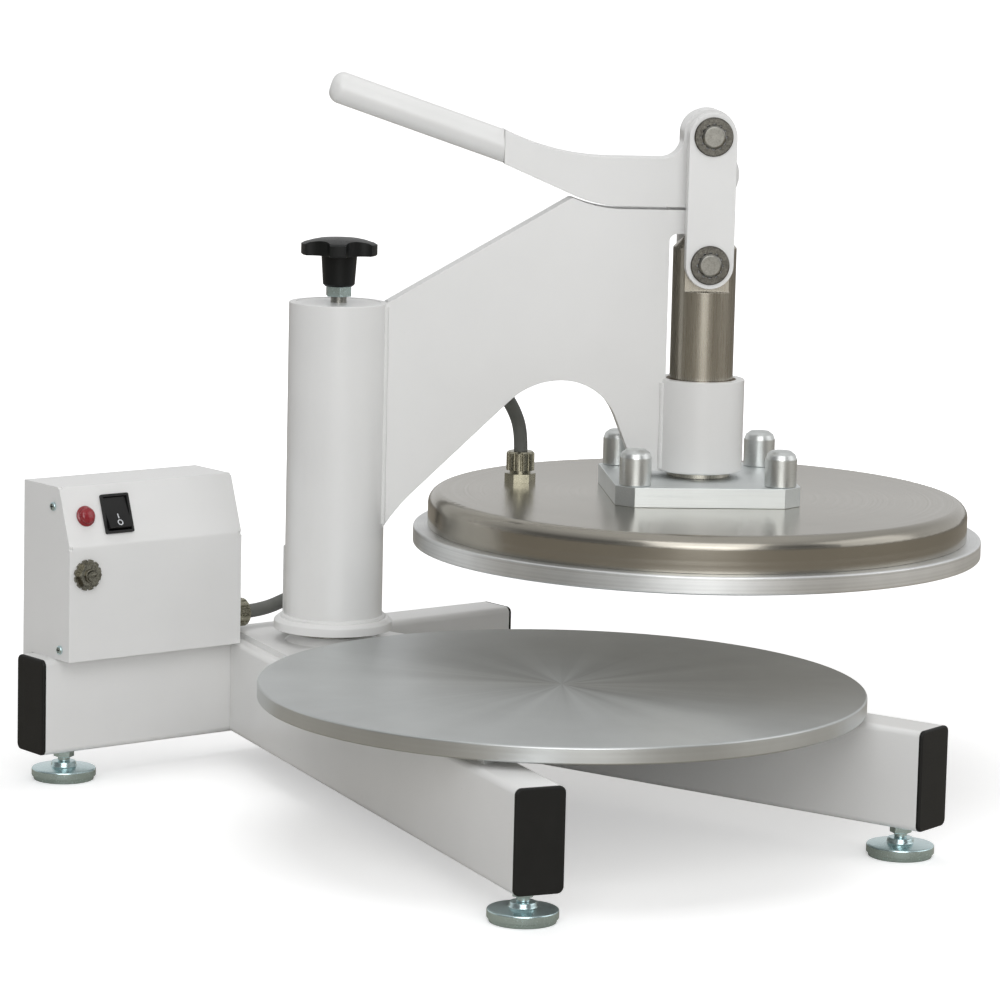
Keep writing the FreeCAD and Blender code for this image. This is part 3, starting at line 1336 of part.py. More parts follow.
def cable(name, route):
    """Cable along straight runs joined by tangent arcs, each as large as its runs allow."""
    edges = []
    here = route[0]
    length = 0.0
    radii = []
    for before, corner, after in zip(route, route[1:], route[2:]):
        back = before.sub(corner)
        ahead = after.sub(corner)
        half_turn = (math.pi - back.getAngle(ahead)) / 2
        reach = 0.45 * min(back.Length, ahead.Length)
        radius = reach / math.tan(half_turn)
        back.normalize()
        ahead.normalize()
        start = corner.add(back.multiply(reach))
        end = corner.add(ahead.multiply(reach))
        inward = back.add(ahead).normalize()
        middle = corner.add(inward.multiply(radius / math.cos(half_turn) - radius))
        edges.append(Part.LineSegment(here, start).toShape())
        edges.append(Part.Arc(start, middle, end).toShape())
        length += start.sub(here).Length + 2 * half_turn * radius
        radii.append(round(radius, 1))
        here = end
    edges.append(Part.LineSegment(here, route[-1]).toShape())
    length += route[-1].sub(here).Length
    radius = CABLE_D / 2
    direction = route[1].sub(route[0])
    section = Part.Wire(Part.makeCircle(radius, route[0], direction))
    tube = Part.Wire(edges).makePipeShell([section], True, False)
    share = tube.Volume / (math.pi * radius ** 2 * length)
    print("cable", name, "length", round(length, 1), "radii", radii, "volume share", round(share, 4))
    save(name, tube)


def cable_clip(before, after):
    """Clip that holds one straight run of the cable on the arm plate's far face."""
    middle = between(before, after, CLIP_PLACE)
    along = after.sub(before)
    along.normalize()
    face = PLATE_T / 2
    start = middle.sub(Vector(along).multiply(CLIP_W / 2))
    band = Part.makeCylinder(CABLE_D / 2 + CLIP_WALL, CLIP_W, start, along)
    across = Vector(along.z, 0, -along.x)
    angle = math.degrees(math.atan2(across.z, across.x))
    tab = block(0, CLIP_TAB, face, face + CLIP_TAB_T, -CLIP_W / 2, CLIP_W / 2)
    screw_x = CLIP_TAB - CLIP_SCREW_INSET
    head_y = face + CLIP_TAB_T
    tab = tab.fuse(crossbar(CLIP_SCREW_D / 2, head_y, head_y + CLIP_SCREW_H, screw_x, 0))
    tab.rotate(ORIGIN, Vector(0, 1, 0), -angle)
    tab.translate(Vector(middle.x, 0, middle.z))
    bore_start = middle.sub(Vector(along).multiply(CLIP_W * 2))
    bore = Part.makeCylinder(CABLE_D / 2 + RUNNING, CLIP_W * 4, bore_start, along)
    return band.fuse(tab).cut(bore)


def heater_cable():
    lower = column_route()
    upper = arm_route()
    placed = [from_arm(point) for point in upper]
    lift_start = between(lower[-1], placed[0], 0.5)
    lift_end = between(placed[0], placed[1], CLIP_PLACE - CLIP_SHARE)
    leave = between(placed[0], placed[1], CLIP_PLACE + CLIP_SHARE)
    cable("cable_swing_stretch", lower + [lift_start])
    cable("cable_lift_stretch", [lift_start, placed[0], lift_end])
    save("cable_arm_run", rod(CABLE_D / 2, lift_end, leave))
    cable("cable_platen_stretch", [leave] + placed[1:])
    save("cable_clip", at_arm(cable_clip(upper[0], upper[1])))


def main():
    os.makedirs("parts", exist_ok=True)
    frame_tubes()
    base_plate()
    lower_platen()
    feet()
    column()
    sleeve()
    knob()
    arm()
    handle()
    crank_and_links()
    ram()
    upper_platen()
    control_box()
    heater_cable()


main()
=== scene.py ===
import logging
import math
from dataclasses import dataclass, field
from enum import Enum

import bmesh
import bpy
from mathutils import Matrix, Vector

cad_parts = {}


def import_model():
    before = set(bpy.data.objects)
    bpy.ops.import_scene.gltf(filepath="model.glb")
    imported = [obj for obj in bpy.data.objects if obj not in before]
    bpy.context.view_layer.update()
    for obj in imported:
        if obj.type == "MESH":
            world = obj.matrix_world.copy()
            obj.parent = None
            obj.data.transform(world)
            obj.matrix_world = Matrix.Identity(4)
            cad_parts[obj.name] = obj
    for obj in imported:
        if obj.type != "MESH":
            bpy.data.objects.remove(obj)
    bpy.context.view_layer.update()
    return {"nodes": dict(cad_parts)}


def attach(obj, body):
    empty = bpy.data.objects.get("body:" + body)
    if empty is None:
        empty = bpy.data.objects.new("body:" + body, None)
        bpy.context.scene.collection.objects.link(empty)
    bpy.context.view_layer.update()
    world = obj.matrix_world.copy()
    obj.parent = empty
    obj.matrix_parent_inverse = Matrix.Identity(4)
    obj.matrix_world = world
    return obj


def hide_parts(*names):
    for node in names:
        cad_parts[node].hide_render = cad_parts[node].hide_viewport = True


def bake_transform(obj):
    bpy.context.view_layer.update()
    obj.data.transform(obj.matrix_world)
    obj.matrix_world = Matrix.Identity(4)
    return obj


log = logging.getLogger("dough_press")

Colour = tuple[float, float, float]
Place = tuple[float, float, float]
Span = tuple[float, float]
Socket = bpy.types.NodeSocket
Value = Socket | float | tuple | Vector

MM = 0.001
WHITE = (1.0, 1.0, 1.0)
ORIGIN = Vector((0.0, 0.0, 0.0))
UPRIGHT = (0.0, 0.0, 1.0)

# Places of the press in the row frame, whose origin is the middle of the lower platen's top.
# The arm reaches as far as the platen stands from the column, so that it brings the ram over it.
FLOOR_Z = -118.1 * MM
COLUMN_Y = 292.1 * MM
COLUMN_AXIS = Vector((0.0, COLUMN_Y, 0.0))
ARM_REACH = COLUMN_Y
ARM_ANGLE = math.radians(-33.2)

# The photograph's view: where the camera looks, and its turn about the vertical in degrees.
VIEW_TARGET = Vector((0.1033, 0.2100, 0.1038))
VIEW_AZIMUTH = -38.48

# Finishing of sharp edges.
EDGE_ROUNDING = 0.5 * MM
ROUNDING_STEPS = 2
MERGE_DISTANCE = 0.005 * MM
FLAT_ANGLE = math.radians(0.2)
SHARP_ANGLE = math.radians(35.0)

# Sockets of a Mix node that is set to colours.
MIX_FACTOR = 0
MIX_FIRST = 6
MIX_SECOND = 7
MIX_RESULT = 2


class Part(Enum):
    """Bodies of the press that carry pieces made here, by the name each has in the frame."""

    FRAME = "root"
    TURNTABLE = "turntable"
    ARM = "arm"
    RAM = "ram"
    ROCKER = "rocker"


class Grain(Enum):
    """Direction of the fine tool marks on a metal surface."""

    NONE = "none"
    ROUND = "round"
    ALONG_X = "along_x"
    ALONG_Z = "along_z"


def from_arm(along: float, across: float, up: float) -> Vector:
    """Takes a point of the arm's own frame to the row frame.

    Args:
        along: Distance from the column axis along the arm, in metres.
        across: Distance behind the arm's middle plane, in metres.
        up: Height above the lower platen, in metres.

    Returns:
        The point in the row frame.
    """
    turned = Matrix.Rotation(ARM_ANGLE, 3, "Z") @ Vector((along, across, up))
    return turned + COLUMN_AXIS


RAM_AXIS = from_arm(ARM_REACH, 0.0, 0.0)


def axes_matrix(right: Vector, up: Vector, out: Vector) -> Matrix:
    """Matrix whose axes are three given directions.

    Args:
        right: Direction of its X axis.
        up: Direction of its Y axis.
        out: Direction of its Z axis.

    Returns:
        The matrix, about the origin.
    """
    return Matrix((right, up, out)).transposed().to_4x4()


class NodeSheet:
    """Short way to write a node tree."""

    def __init__(self, tree: bpy.types.NodeTree) -> None:
        """Takes the tree that the nodes go into."""
        self.tree = tree

    def add(self, kind: str, **values: object) -> bpy.types.Node:
        """Adds a node.

        Args:
            kind: Blender's name of the node's type.
            values: Properties of the node, and what goes into its inputs where the name has a capital.

        Returns:
            The new node.
        """
        node = self.tree.nodes.new(kind)
        for key, value in values.items():
            if key[0].isupper():
                self.fill(node.inputs[key.replace("_", " ")], value)
            else:
                setattr(node, key, value)
        return node

    def fill(self, target: Socket, value: Value) -> None:
        """Links a socket to an input, or sets a plain value on it.

        Args:
            target: The input.
            value: The socket or the value.
        """
        if isinstance(value, Socket):
            self.tree.links.new(value, target)
        else:
            target.default_value = value

    def number(self, operation: str, *values: Value) -> Socket:
        """Adds a Math node.

        Args:
            operation: Blender's name of what it works out.
            values: Sockets or numbers that it works on, in order.

        Returns:
            The socket of the result.
        """
        node = self.add("ShaderNodeMath", operation=operation)
        for target, value in zip(node.inputs, values):
            self.fill(target, value)
        return node.outputs["Value"]

    def vector(self, operation: str, *values: Value) -> Socket:
        """Adds a Vector Math node.

        Args:
            operation: Blender's name of what it works out.
            values: Sockets or vectors that it works on, in order.

        Returns:
            The socket of the result, which is a number for a length and a dot product.
        """
        node = self.add("ShaderNodeVectorMath", operation=operation)
        for target, value in zip(node.inputs, values):
            self.fill(target, value)
        return node.outputs["Value" if operation in ("LENGTH", "DOT_PRODUCT") else "Vector"]

    def remap(self, value: Socket, source: Span, target: Span, soft: bool = False) -> Socket:
        """Takes a value from one range to another and holds it there.

        Args:
            value: The value.
            source: Range that it comes from.
            target: Range that it goes to.
            soft: Whether it starts and ends slowly.

        Returns:
            The socket of the new value.
        """
        node = self.add(
            "ShaderNodeMapRange", interpolation_type="SMOOTHSTEP" if soft else "LINEAR", Value=value,
            From_Min=source[0], From_Max=source[1], To_Min=target[0], To_Max=target[1],
        )
        return node.outputs["Result"]

    def mix(self, factor: Socket, first: Colour | Socket, second: Colour | Socket) -> Socket:
        """Mixes two colours.

        Args:
            factor: Share of the second colour.
            first: The first colour.
            second: The second colour.

        Returns:
            The socket of the mix.
        """
        node = self.add("ShaderNodeMix", data_type="RGBA")
        self.fill(node.inputs[MIX_FACTOR], factor)
        for index, colour in ((MIX_FIRST, first), (MIX_SECOND, second)):
            self.fill(node.inputs[index], colour if isinstance(colour, Socket) else (*colour, 1.0))
        return node.outputs[MIX_RESULT]


class MaterialSheet(NodeSheet):
    """The nodes of one material, round its Principled shader.

    Attributes:
        noise_span: Range that soft noise mostly keeps to.
        noise_roughness: Weight of each finer layer of the noise.
    """

    noise_span: Span = (0.25, 0.75)
    noise_roughness: float = 0.5

    def __init__(self, name: str) -> None:
        """Starts a material that holds a Principled shader and its output.

        Args:
            name: Name of the material.
        """
        self.material = bpy.data.materials.new(name)
        self.material.use_nodes = True
        super().__init__(self.material.node_tree)
        self.shader = self.tree.nodes["Principled BSDF"]

    def set(self, **values: Value) -> None:
        """Sets plain values or sockets on the shader's own inputs."""
        for key, value in values.items():
            self.fill(self.shader.inputs[key.replace("_", " ")], value)

    def place(self, centre: Vector = ORIGIN, turn: float = 0.0) -> Socket:
        """Object coordinates about a centre, turned about the vertical.

        Args:
            centre: Point of the row frame that becomes the origin.
            turn: Angle of the pattern's X axis, in radians.

        Returns:
            The socket that carries the coordinates.
        """
        source = self.add("ShaderNodeTexCoord")
        mapping = self.add(
            "ShaderNodeMapping", vector_type="TEXTURE", Vector=source.outputs["Object"],
            Location=centre, Rotation=(0.0, 0.0, turn),
        )
        return mapping.outputs["Vector"]

    def radius(self, place: Socket) -> Socket:
        """Distance from the axis and height of a turned surface, for marks that run round.

        Args:
            place: Coordinates about the axis.

        Returns:
            The socket of the distance and the height.
        """
        away = self.vector("LENGTH", self.vector("MULTIPLY", place, (1.0, 1.0, 0.0)))
        parts = self.add("ShaderNodeSeparateXYZ", Vector=place)
        joined = self.add("ShaderNodeCombineXYZ", X=away, Z=parts.outputs["Z"])
        return joined.outputs["Vector"]

    def noise(self, place: Socket, scale: float, detail: float = 2.0) -> Socket:
        """Soft noise over the coordinates, from 0 to 1.

        Args:
            place: The coordinates.
            scale: Patches of the noise in a metre.
            detail: Number of finer layers.

        Returns:
            The socket of the noise.
        """
        node = self.add(
            "ShaderNodeTexNoise", Vector=place, Scale=scale, Detail=detail, Roughness=self.noise_roughness
        )
        return node.outputs["Fac"]

    def spread(self, value: Socket, low: float, high: float) -> Socket:
        """Takes noise, which keeps about a half, to the range from low to high."""
        return self.remap(value, self.noise_span, (low, high))

    def bump(self, height: Socket, strength: float, depth: float) -> None:
        """Bump on the shader's normal, with its depth in metres."""
        node = self.add("ShaderNodeBump", Strength=strength, Distance=depth, Height=height)
        self.set(Normal=node.outputs["Normal"])


def shade(colour: Colour, share: float) -> Colour:
    """A colour made lighter or darker by a share of itself."""
    return tuple(min(1.0, channel * (1.0 + share)) for channel in colour)


@dataclass(frozen=True)
class PowderCoat:
    """Near-white powder coat with a fine orange peel.

    Attributes:
        name: Name of the material.
        colour: Colour of the coat.
        shades: Shares by which cloudy patches change the colour.
        patches: Cloudy patches in a metre.
        gloss: Mean roughness of the coat.
        gloss_swing: How far the roughness goes to each side of its mean.
        specks: Dull specks in a metre.
        peel: Dimples in a metre.
        peel_strength: Strength of the dimples.
        peel_depth: Depth of the dimples, in metres.
        clear_weight: Weight of the clear gloss.
        clear_gloss: Roughness of the clear gloss.
    """

    name: str = "powder_coat"
    colour: Colour = (0.84, 0.84, 0.83)
    shades: Span = (-0.03, 0.01)
    patches: float = 14.0
    gloss: float = 0.32
    gloss_swing: float = 0.05
    specks: float = 650.0
    peel: float = 420.0
    peel_strength: float = 0.25
    peel_depth: float = 0.12 * MM
    clear_weight: float = 0.25
    clear_gloss: float = 0.18

    def make(self) -> bpy.types.Material:
        """Builds the material.

        Returns:
            The material.
        """
        sheet = MaterialSheet(self.name)
        place = sheet.place()
        cloud = sheet.spread(sheet.noise(place, self.patches), 0.0, 1.0)
        specks = sheet.noise(place, self.specks, detail=3.0)
        sheet.set(
            Base_Color=sheet.mix(cloud, *(shade(self.colour, share) for share in self.shades)),
            Roughness=sheet.spread(specks, self.gloss - self.gloss_swing, self.gloss + self.gloss_swing),
            Coat_Weight=self.clear_weight,
            Coat_Roughness=self.clear_gloss,
        )
        sheet.bump(sheet.noise(place, self.peel), self.peel_strength, self.peel_depth)
        return sheet.material


@dataclass(frozen=True)
class WorkedMetal:
    """Bare metal with tool marks, and where asked a painted highlight of glint rays out of a centre.

    Attributes:
        name: Name of the material.
        colour: Colour of the metal.
        gloss: Mean roughness.
        grain: Direction of the marks.
        centre: Axis of round marks, in the row frame.
        turn: Angle of straight marks about the vertical, in radians.
        marks: Marks in a metre, across the grain.
        mark_squeeze: Scale of the coordinates along a straight grain, which draws the marks out.
        mark_share: Share of the marks in the colour's changes; patches have the rest.
        mark_strength: Strength of the marks' relief.
        depth: Depth of the marks, in metres.
        gloss_swing: Share by which the marks change the roughness.
        pull: Anisotropy of the highlight.
        pull_turn: Turn of the highlight from along the marks to across them, in full turns.
        spots: Share by which marks and patches change the colour.
        patches: Cloudy patches in a metre.
        painted_glint: Share by which painted highlight rays out of the centre change the colour.
        glint_reach: Distance at which the painted highlight rays have faded, in metres.
        glint_rest: Share of the painted highlight rays that is left there.
        glint_rays: Fineness of the painted highlight rays.
        glint_ray_span: Range of the light and dark of the painted highlight rays.
    """

    name: str
    colour: Colour
    gloss: float = 0.3
    grain: Grain = Grain.NONE
    centre: Vector = field(default_factory=lambda: ORIGIN)
    turn: float = 0.0
    marks: float = 900.0
    mark_squeeze: float = 0.02
    mark_share: float = 0.6
    mark_strength: float = 0.35
    depth: float = 0.03 * MM
    gloss_swing: float = 0.2
    pull: float = 0.0
    pull_turn: float = 0.25
    spots: float = 0.08
    patches: float = 26.0
    painted_glint: float = 0.0
    glint_reach: float = 160.0 * MM
    glint_rest: float = 0.2
    glint_rays: float = 3.2
    glint_ray_span: Span = (-0.6, 1.4)

    def make(self) -> bpy.types.Material:
        """Builds the material.

        Returns:
            The material.
        """
        sheet = MaterialSheet(self.name)
        place = sheet.place(self.centre, self.turn)
        fine = sheet.noise(self.along_grain(sheet, place), self.marks, detail=4.0)
        cloud = sheet.noise(place, self.patches, detail=3.0)
        cloud_part = sheet.number("MULTIPLY", cloud, 1.0 - self.mark_share)
        change = sheet.spread(sheet.number("MULTIPLY_ADD", fine, self.mark_share, cloud_part), 0.0, 1.0)
        tone = sheet.mix(change, shade(self.colour, -self.spots), shade(self.colour, self.spots))
        # Painted highlight: glint rays out of the centre, painted into the colour.
        if self.painted_glint > 0.0:
            tone = self.paint_glint_rays(sheet, place, tone)
        least, most = self.gloss * (1.0 - self.gloss_swing), self.gloss * (1.0 + self.gloss_swing)
        sheet.set(
            Base_Color=tone,
            Roughness=sheet.spread(fine, least, most),
            Metallic=1.0,
            Anisotropic=self.pull,
        )
        sheet.bump(fine, self.mark_strength, self.depth)
        if self.pull > 0.0:
            self.pull_highlight(sheet, place)
        return sheet.material

    def along_grain(self, sheet: MaterialSheet, place: Socket) -> Socket:
        """Squeezes coordinates along the marks, so that noise turns into lines.

        Args:
            sheet: The material's sheet.
            place: Coordinates about the centre.

        Returns:
            The squeezed coordinates.
        """
        if self.grain is Grain.ROUND:
            return sheet.radius(place)
        if self.grain is Grain.ALONG_X:
            return sheet.vector("MULTIPLY", place, (self.mark_squeeze, 1.0, 1.0))
        if self.grain is Grain.ALONG_Z:
            return sheet.vector("MULTIPLY", place, (1.0, 1.0, self.mark_squeeze))
        return place

    def paint_glint_rays(self, sheet: MaterialSheet, place: Socket, tone: Socket) -> Socket:
        """Fine rays that run out of the centre, as light makes them on turned rings.

        Args:
            sheet: The material's sheet.
            place: Coordinates about the centre.
            tone: The metal's colour so far.

        Returns:
            The colour with its painted highlight rays.
        """
        bearing = sheet.vector("NORMALIZE", sheet.vector("MULTIPLY", place, (1.0, 1.0, 0.0)))
        glint_rays = sheet.spread(sheet.noise(bearing, self.glint_rays, detail=5.0), *self.glint_ray_span)
        away = sheet.vector("LENGTH", place)
        share = sheet.remap(away, (0.0, self.glint_reach), (self.painted_glint, self.painted_glint * self.glint_rest), soft=True)
        glint_brightness = sheet.number("MULTIPLY_ADD", glint_rays, share, 1.0)
        shaded = sheet.add("ShaderNodeVectorMath", operation="SCALE", Vector=tone, Scale=glint_brightness)
        return shaded.outputs["Vector"]

    def pull_highlight(self, sheet: MaterialSheet, place: Socket) -> None:
        """Spreads the highlight across marks that run round the axis, as fine grooves do.

        Args:
            sheet: The material's sheet.
            place: Coordinates about the axis.
        """
        around = sheet.vector("CROSS_PRODUCT", UPRIGHT, place)
        in_world = sheet.add(
            "ShaderNodeVectorTransform", vector_type="VECTOR", convert_from="OBJECT", convert_to="WORLD",
            Vector=around,
        )
        tangent = sheet.vector("NORMALIZE", in_world.outputs["Vector"])
        sheet.set(Tangent=tangent, Anisotropic_Rotation=self.pull_turn)


@dataclass(frozen=True)
class Moulding:
    """Moulded plastic or rubber with a fine spark texture.

    Attributes:
        name: Name of the material.
        colour: Colour of the plastic.
        gloss: Mean roughness.
        texture: Depth of the texture, in metres.
        coat: Weight of a clear gloss.
        shine: Strength of the surface's own reflection.
        gloss_swing: How far the roughness goes to each side of its mean.
        sparks: Pits of the texture in a metre.
        spark_strength: Strength of the texture's relief.
        patches: Cloudy patches in a metre.
        spots: Share by which the patches change the colour.
    """

    name: str
    colour: Colour
    gloss: float = 0.45
    texture: float = 0.06 * MM
    coat: float = 0.0
    shine: float = 0.25
    gloss_swing: float = 0.06
    sparks: float = 1400.0
    spark_strength: float = 0.5
    patches: float = 60.0
    spots: float = 0.12

    def make(self) -> bpy.types.Material:
        """Builds the material.

        Returns:
            The material.
        """
        sheet = MaterialSheet(self.name)
        place = sheet.place()
        fine = sheet.noise(place, self.sparks, detail=3.0)
        cloud = sheet.spread(sheet.noise(place, self.patches), 0.0, 1.0)
        sheet.set(
            Base_Color=sheet.mix(cloud, shade(self.colour, -self.spots), shade(self.colour, self.spots)),
            Roughness=sheet.spread(fine, self.gloss - self.gloss_swing, self.gloss + self.gloss_swing),
            Coat_Weight=self.coat,
            Specular_IOR_Level=self.shine,
        )
        sheet.bump(fine, self.spark_strength, self.texture)
        return sheet.material


class Finishes:
    """Every finish of the press, made once and handed out by name."""

    def __init__(self) -> None:
        """Builds the materials."""
        kinds = [
            PowderCoat(),
            # The turned platen's colour carries a painted highlight: a star of glint rays.
            WorkedMetal(
                "turned_platen_and_glint", (0.60, 0.62, 0.62), 0.42, Grain.ROUND, ORIGIN,
                marks=1500.0, pull=0.45, painted_glint=0.28,
            ),
            WorkedMetal("platen_rim", (0.78, 0.79, 0.79), 0.42, Grain.ROUND, RAM_AXIS, pull=0.3, spots=0.2),
            WorkedMetal(
                "spun_steel", (0.38, 0.36, 0.315), 0.24, Grain.ROUND, RAM_AXIS, marks=500.0, pull=0.35,
            ),
            WorkedMetal("tumbled_aluminium", (0.74, 0.77, 0.77), 0.44, Grain.ALONG_X, RAM_AXIS, ARM_ANGLE),
            WorkedMetal("cap_aluminium", (0.71, 0.73, 0.72), 0.36, Grain.ROUND, RAM_AXIS),
            WorkedMetal("ground_ram", (0.44, 0.415, 0.36), 0.28, Grain.ALONG_Z, RAM_AXIS, marks=1200.0),
            WorkedMetal("bar_steel", (0.30, 0.295, 0.27), 0.34, spots=0.45, patches=220.0),
            WorkedMetal("ring_steel", (0.14, 0.135, 0.12), 0.36, spots=0.8, patches=320.0),
            WorkedMetal("zinc_plate", (0.60, 0.75, 0.77), 0.24, spots=0.15),
            # Bronze darkened far below its own colour: painted shade for the dark gap under the guide
            # collar.
            WorkedMetal("bronze", (0.13, 0.09, 0.05), 0.5),
            WorkedMetal("element_sheath", (0.10, 0.10, 0.09), 0.5),
            WorkedMetal("gland_nickel", (0.35, 0.335, 0.26), 0.28, spots=0.45, patches=220.0),
            WorkedMetal("thermostat_plate", (0.23, 0.22, 0.18), 0.30, spots=0.8, patches=320.0),
            Moulding("cap_plastic", (0.012, 0.012, 0.011), 0.5),
            Moulding("knob_plastic", (0.008, 0.009, 0.009), 0.36, shine=0.22),
            Moulding("switch_plastic", (0.008, 0.008, 0.008), 0.38, shine=0.35),
            Moulding("cable_rubber", (0.17, 0.174, 0.162), 0.55, 0.1 * MM),
            Moulding("lamp_lens", (0.27, 0.012, 0.02), 0.25, 0.02 * MM, coat=0.5, shine=0.5),
            Moulding("white_mark", (0.62, 0.64, 0.66), 0.4),
            # Painted shade: dark crosses that stand in for the shade in the screws' cross recesses.
            Moulding("painted_recess_shade", (0.03, 0.03, 0.03), 0.6),
        ]
        self.made = {kind.name: kind.make() for kind in kinds}

    def __getitem__(self, name: str) -> bpy.types.Material:
        """The material of one name."""
        return self.made[name]


def dress(node: bpy.types.Object, material: bpy.types.Material) -> None:
    """Puts one finish on a piece, in place of any that it has."""
    node.data.materials.clear()
    node.data.materials.append(material)


def smooth(mesh: bpy.types.Mesh) -> None:
    """Shades every face of a mesh smooth."""
    mesh.polygons.foreach_set("use_smooth", [True] * len(mesh.polygons))


def soften(node: bpy.types.Object) -> None:
    """Rounds the sharp edges of a CAD node with modifiers and smooths its curved faces.

    Args:
        node: The CAD node's object, whose own mesh keeps its shape.
    """
    smooth(node.data)
    weld = node.modifiers.new("weld", "WELD")
    weld.merge_threshold = MERGE_DISTANCE
    flat = node.modifiers.new("flat", "DECIMATE")
    flat.decimate_type = "DISSOLVE"
    flat.angle_limit = FLAT_ANGLE
    edge = node.modifiers.new("edge", "BEVEL")
    edge.width = EDGE_ROUNDING
    edge.segments = ROUNDING_STEPS
    edge.limit_method = "ANGLE"
    edge.angle_limit = SHARP_ANGLE
    edge.harden_normals = True
    edge.miter_outer = "MITER_ARC"
    normals = node.modifiers.new("normals", "WEIGHTED_NORMAL")
    normals.keep_sharp = True


@dataclass(frozen=True)
class SubAssembly:
    """CAD nodes of one sub-assembly, with the finish of each.

    Attributes:
        title: Plain name of the sub-assembly.
        finish_of: Names of its nodes, under the name of the finish that they have.
    """

    title: str
    finish_of: dict[str, tuple[str, ...]]

    def carry_over(self, nodes: dict[str, bpy.types.Object], finishes: Finishes) -> None:
        """Dresses the nodes and rounds their edges.

        Args:
            nodes: The CAD nodes' objects by name.
            finishes: The finishes of the press.
        """
        for finish, members in self.finish_of.items():
            for member in members:
                dress(nodes[member], finishes[finish])
                soften(nodes[member])
                log.info("%s: %s in %s", self.title, member, finish)


SUB_ASSEMBLIES = (
    SubAssembly("frame and base", {
        "powder_coat": ("rear_cross_tube", "left_leg", "right_leg", "base_plate"),
        "cap_plastic": ("tube_end_caps",),
        "turned_platen_and_glint": ("lower_platen",),
        "bar_steel": ("lower_platen_bolts",),
        "zinc_plate": (
            "foot_rear_left", "foot_rear_right", "foot_front_left", "foot_front_right", "foot_nuts",
        ),
    }),
    SubAssembly("column", {
        "powder_coat": ("column_sleeve", "stop_collar", "stop_lug", "sleeve_cap", "swing_stops"),
        "bar_steel": ("inner_post", "adjusting_screw"),
        "bronze": ("column_bushings", "thrust_disc"),
        "knob_plastic": ("star_knob",),
        "zinc_plate": ("knob_nut",),
    }),
    SubAssembly("arm and lever", {
        "powder_coat": (
            "arm_plate", "guide_collar", "handle_plate", "handle_grip", "links", "link_spacers",
        ),
        "bar_steel": ("pivot_pin", "crank_pin", "lower_pin_ends"),
        "ring_steel": ("crank_pin_rings", "lower_pin_rings"),
        "bronze": ("ram_bushings",),
        "zinc_plate": ("cable_clip",),
    }),
    SubAssembly("ram and heated platen", {
        "ground_ram": ("ram",),
        "bar_steel": ("ram_cross_pin", "block_studs", "platen_standoffs"),
        "tumbled_aluminium": ("mounting_block",),
        "cap_aluminium": ("stud_caps",),
        "spun_steel": ("platen_cover",),
        "platen_rim": ("heated_platen",),
        "element_sheath": ("heating_element",),
        "gland_nickel": ("platen_gland",),
    }),
    SubAssembly("control box", {
        "powder_coat": ("control_box_base", "control_box_cover"),
        "zinc_plate": ("cover_screws",),
        "lamp_lens": ("indicator_lamp",),
        "switch_plastic": ("switch_housing", "switch_rocker"),
        "thermostat_plate": ("thermostat_body", "thermostat_bezel", "thermostat_stem"),
        "gland_nickel": ("box_glands",),
    }),
    SubAssembly("heater cable", {
        "cable_rubber": (
            "cable_swing_stretch", "cable_lift_stretch", "cable_arm_run", "cable_platen_stretch",
        ),
    }),
)


@dataclass(frozen=True)
class PhotoCamera:
    """Camera at the photograph's angle.

    Attributes:
        elevation: Height of the view above the horizon, in degrees.
        roll: Turn of the camera about its own axis, in degrees.
        distance: Distance from the camera to the target, in metres.
        lens: Focal length, in millimetres.
        sensor: Width of the sensor, in millimetres.
        nearest: Nearest distance that it sees, in metres.
    """

    elevation: float = 8.65
    roll: float = 1.36
    distance: float = 3.407
    lens: float = 153.36
    sensor: float = 36.0
    nearest: float = 0.1

    def build(self) -> None:
        """Makes the camera and looks through it."""
        turn = math.radians(VIEW_AZIMUTH)
        rise = math.radians(self.elevation)
        tilt = math.radians(self.roll)
        back = Vector((math.sin(turn) * math.cos(rise), -math.cos(turn) * math.cos(rise), math.sin(rise)))
        right = Vector((math.cos(turn), math.sin(turn), 0.0))
        up = back.cross(right)
        side = right * math.cos(tilt) + up * math.sin(tilt)
        top = up * math.cos(tilt) - right * math.sin(tilt)
        data = bpy.data.cameras.new("photo_camera")
        data.lens = self.lens
        data.sensor_width = self.sensor
        data.clip_start = self.nearest
        camera = bpy.data.objects.new("photo_camera", data)
        place = axes_matrix(side, top, back)
        place.translation = VIEW_TARGET + back * self.distance
        camera.matrix_world = place
        bpy.context.scene.collection.objects.link(camera)
        bpy.context.scene.camera = camera


@dataclass(frozen=True)
class SoftLamp:
    """Large square lamp that points at the press.

    Attributes:
        name: Name of the lamp.
        place: Its place, in metres.
        size: Side of its face, in metres.
        power: Its power, in watts.
        mirrored: Whether glossy surfaces mirror it.
        lights_matt: Whether it lights matt surfaces.
    """

    name: str
    place: Place
    size: float
    power: float
    mirrored: bool = True
    lights_matt: bool = True

    def build(self) -> None:
        """Makes the lamp."""
        data = bpy.data.lights.new(self.name, "AREA")
        data.shape = "SQUARE"
        data.size = self.size
        data.energy = self.power
        lamp = bpy.data.objects.new(self.name, data)
        lamp.location = self.place
        lamp.rotation_euler = (Vector(self.place) - VIEW_TARGET).to_track_quat("Z", "Y").to_euler()
        lamp.visible_glossy = self.mirrored
        lamp.visible_diffuse = self.lights_matt
        bpy.context.scene.collection.objects.link(lamp)


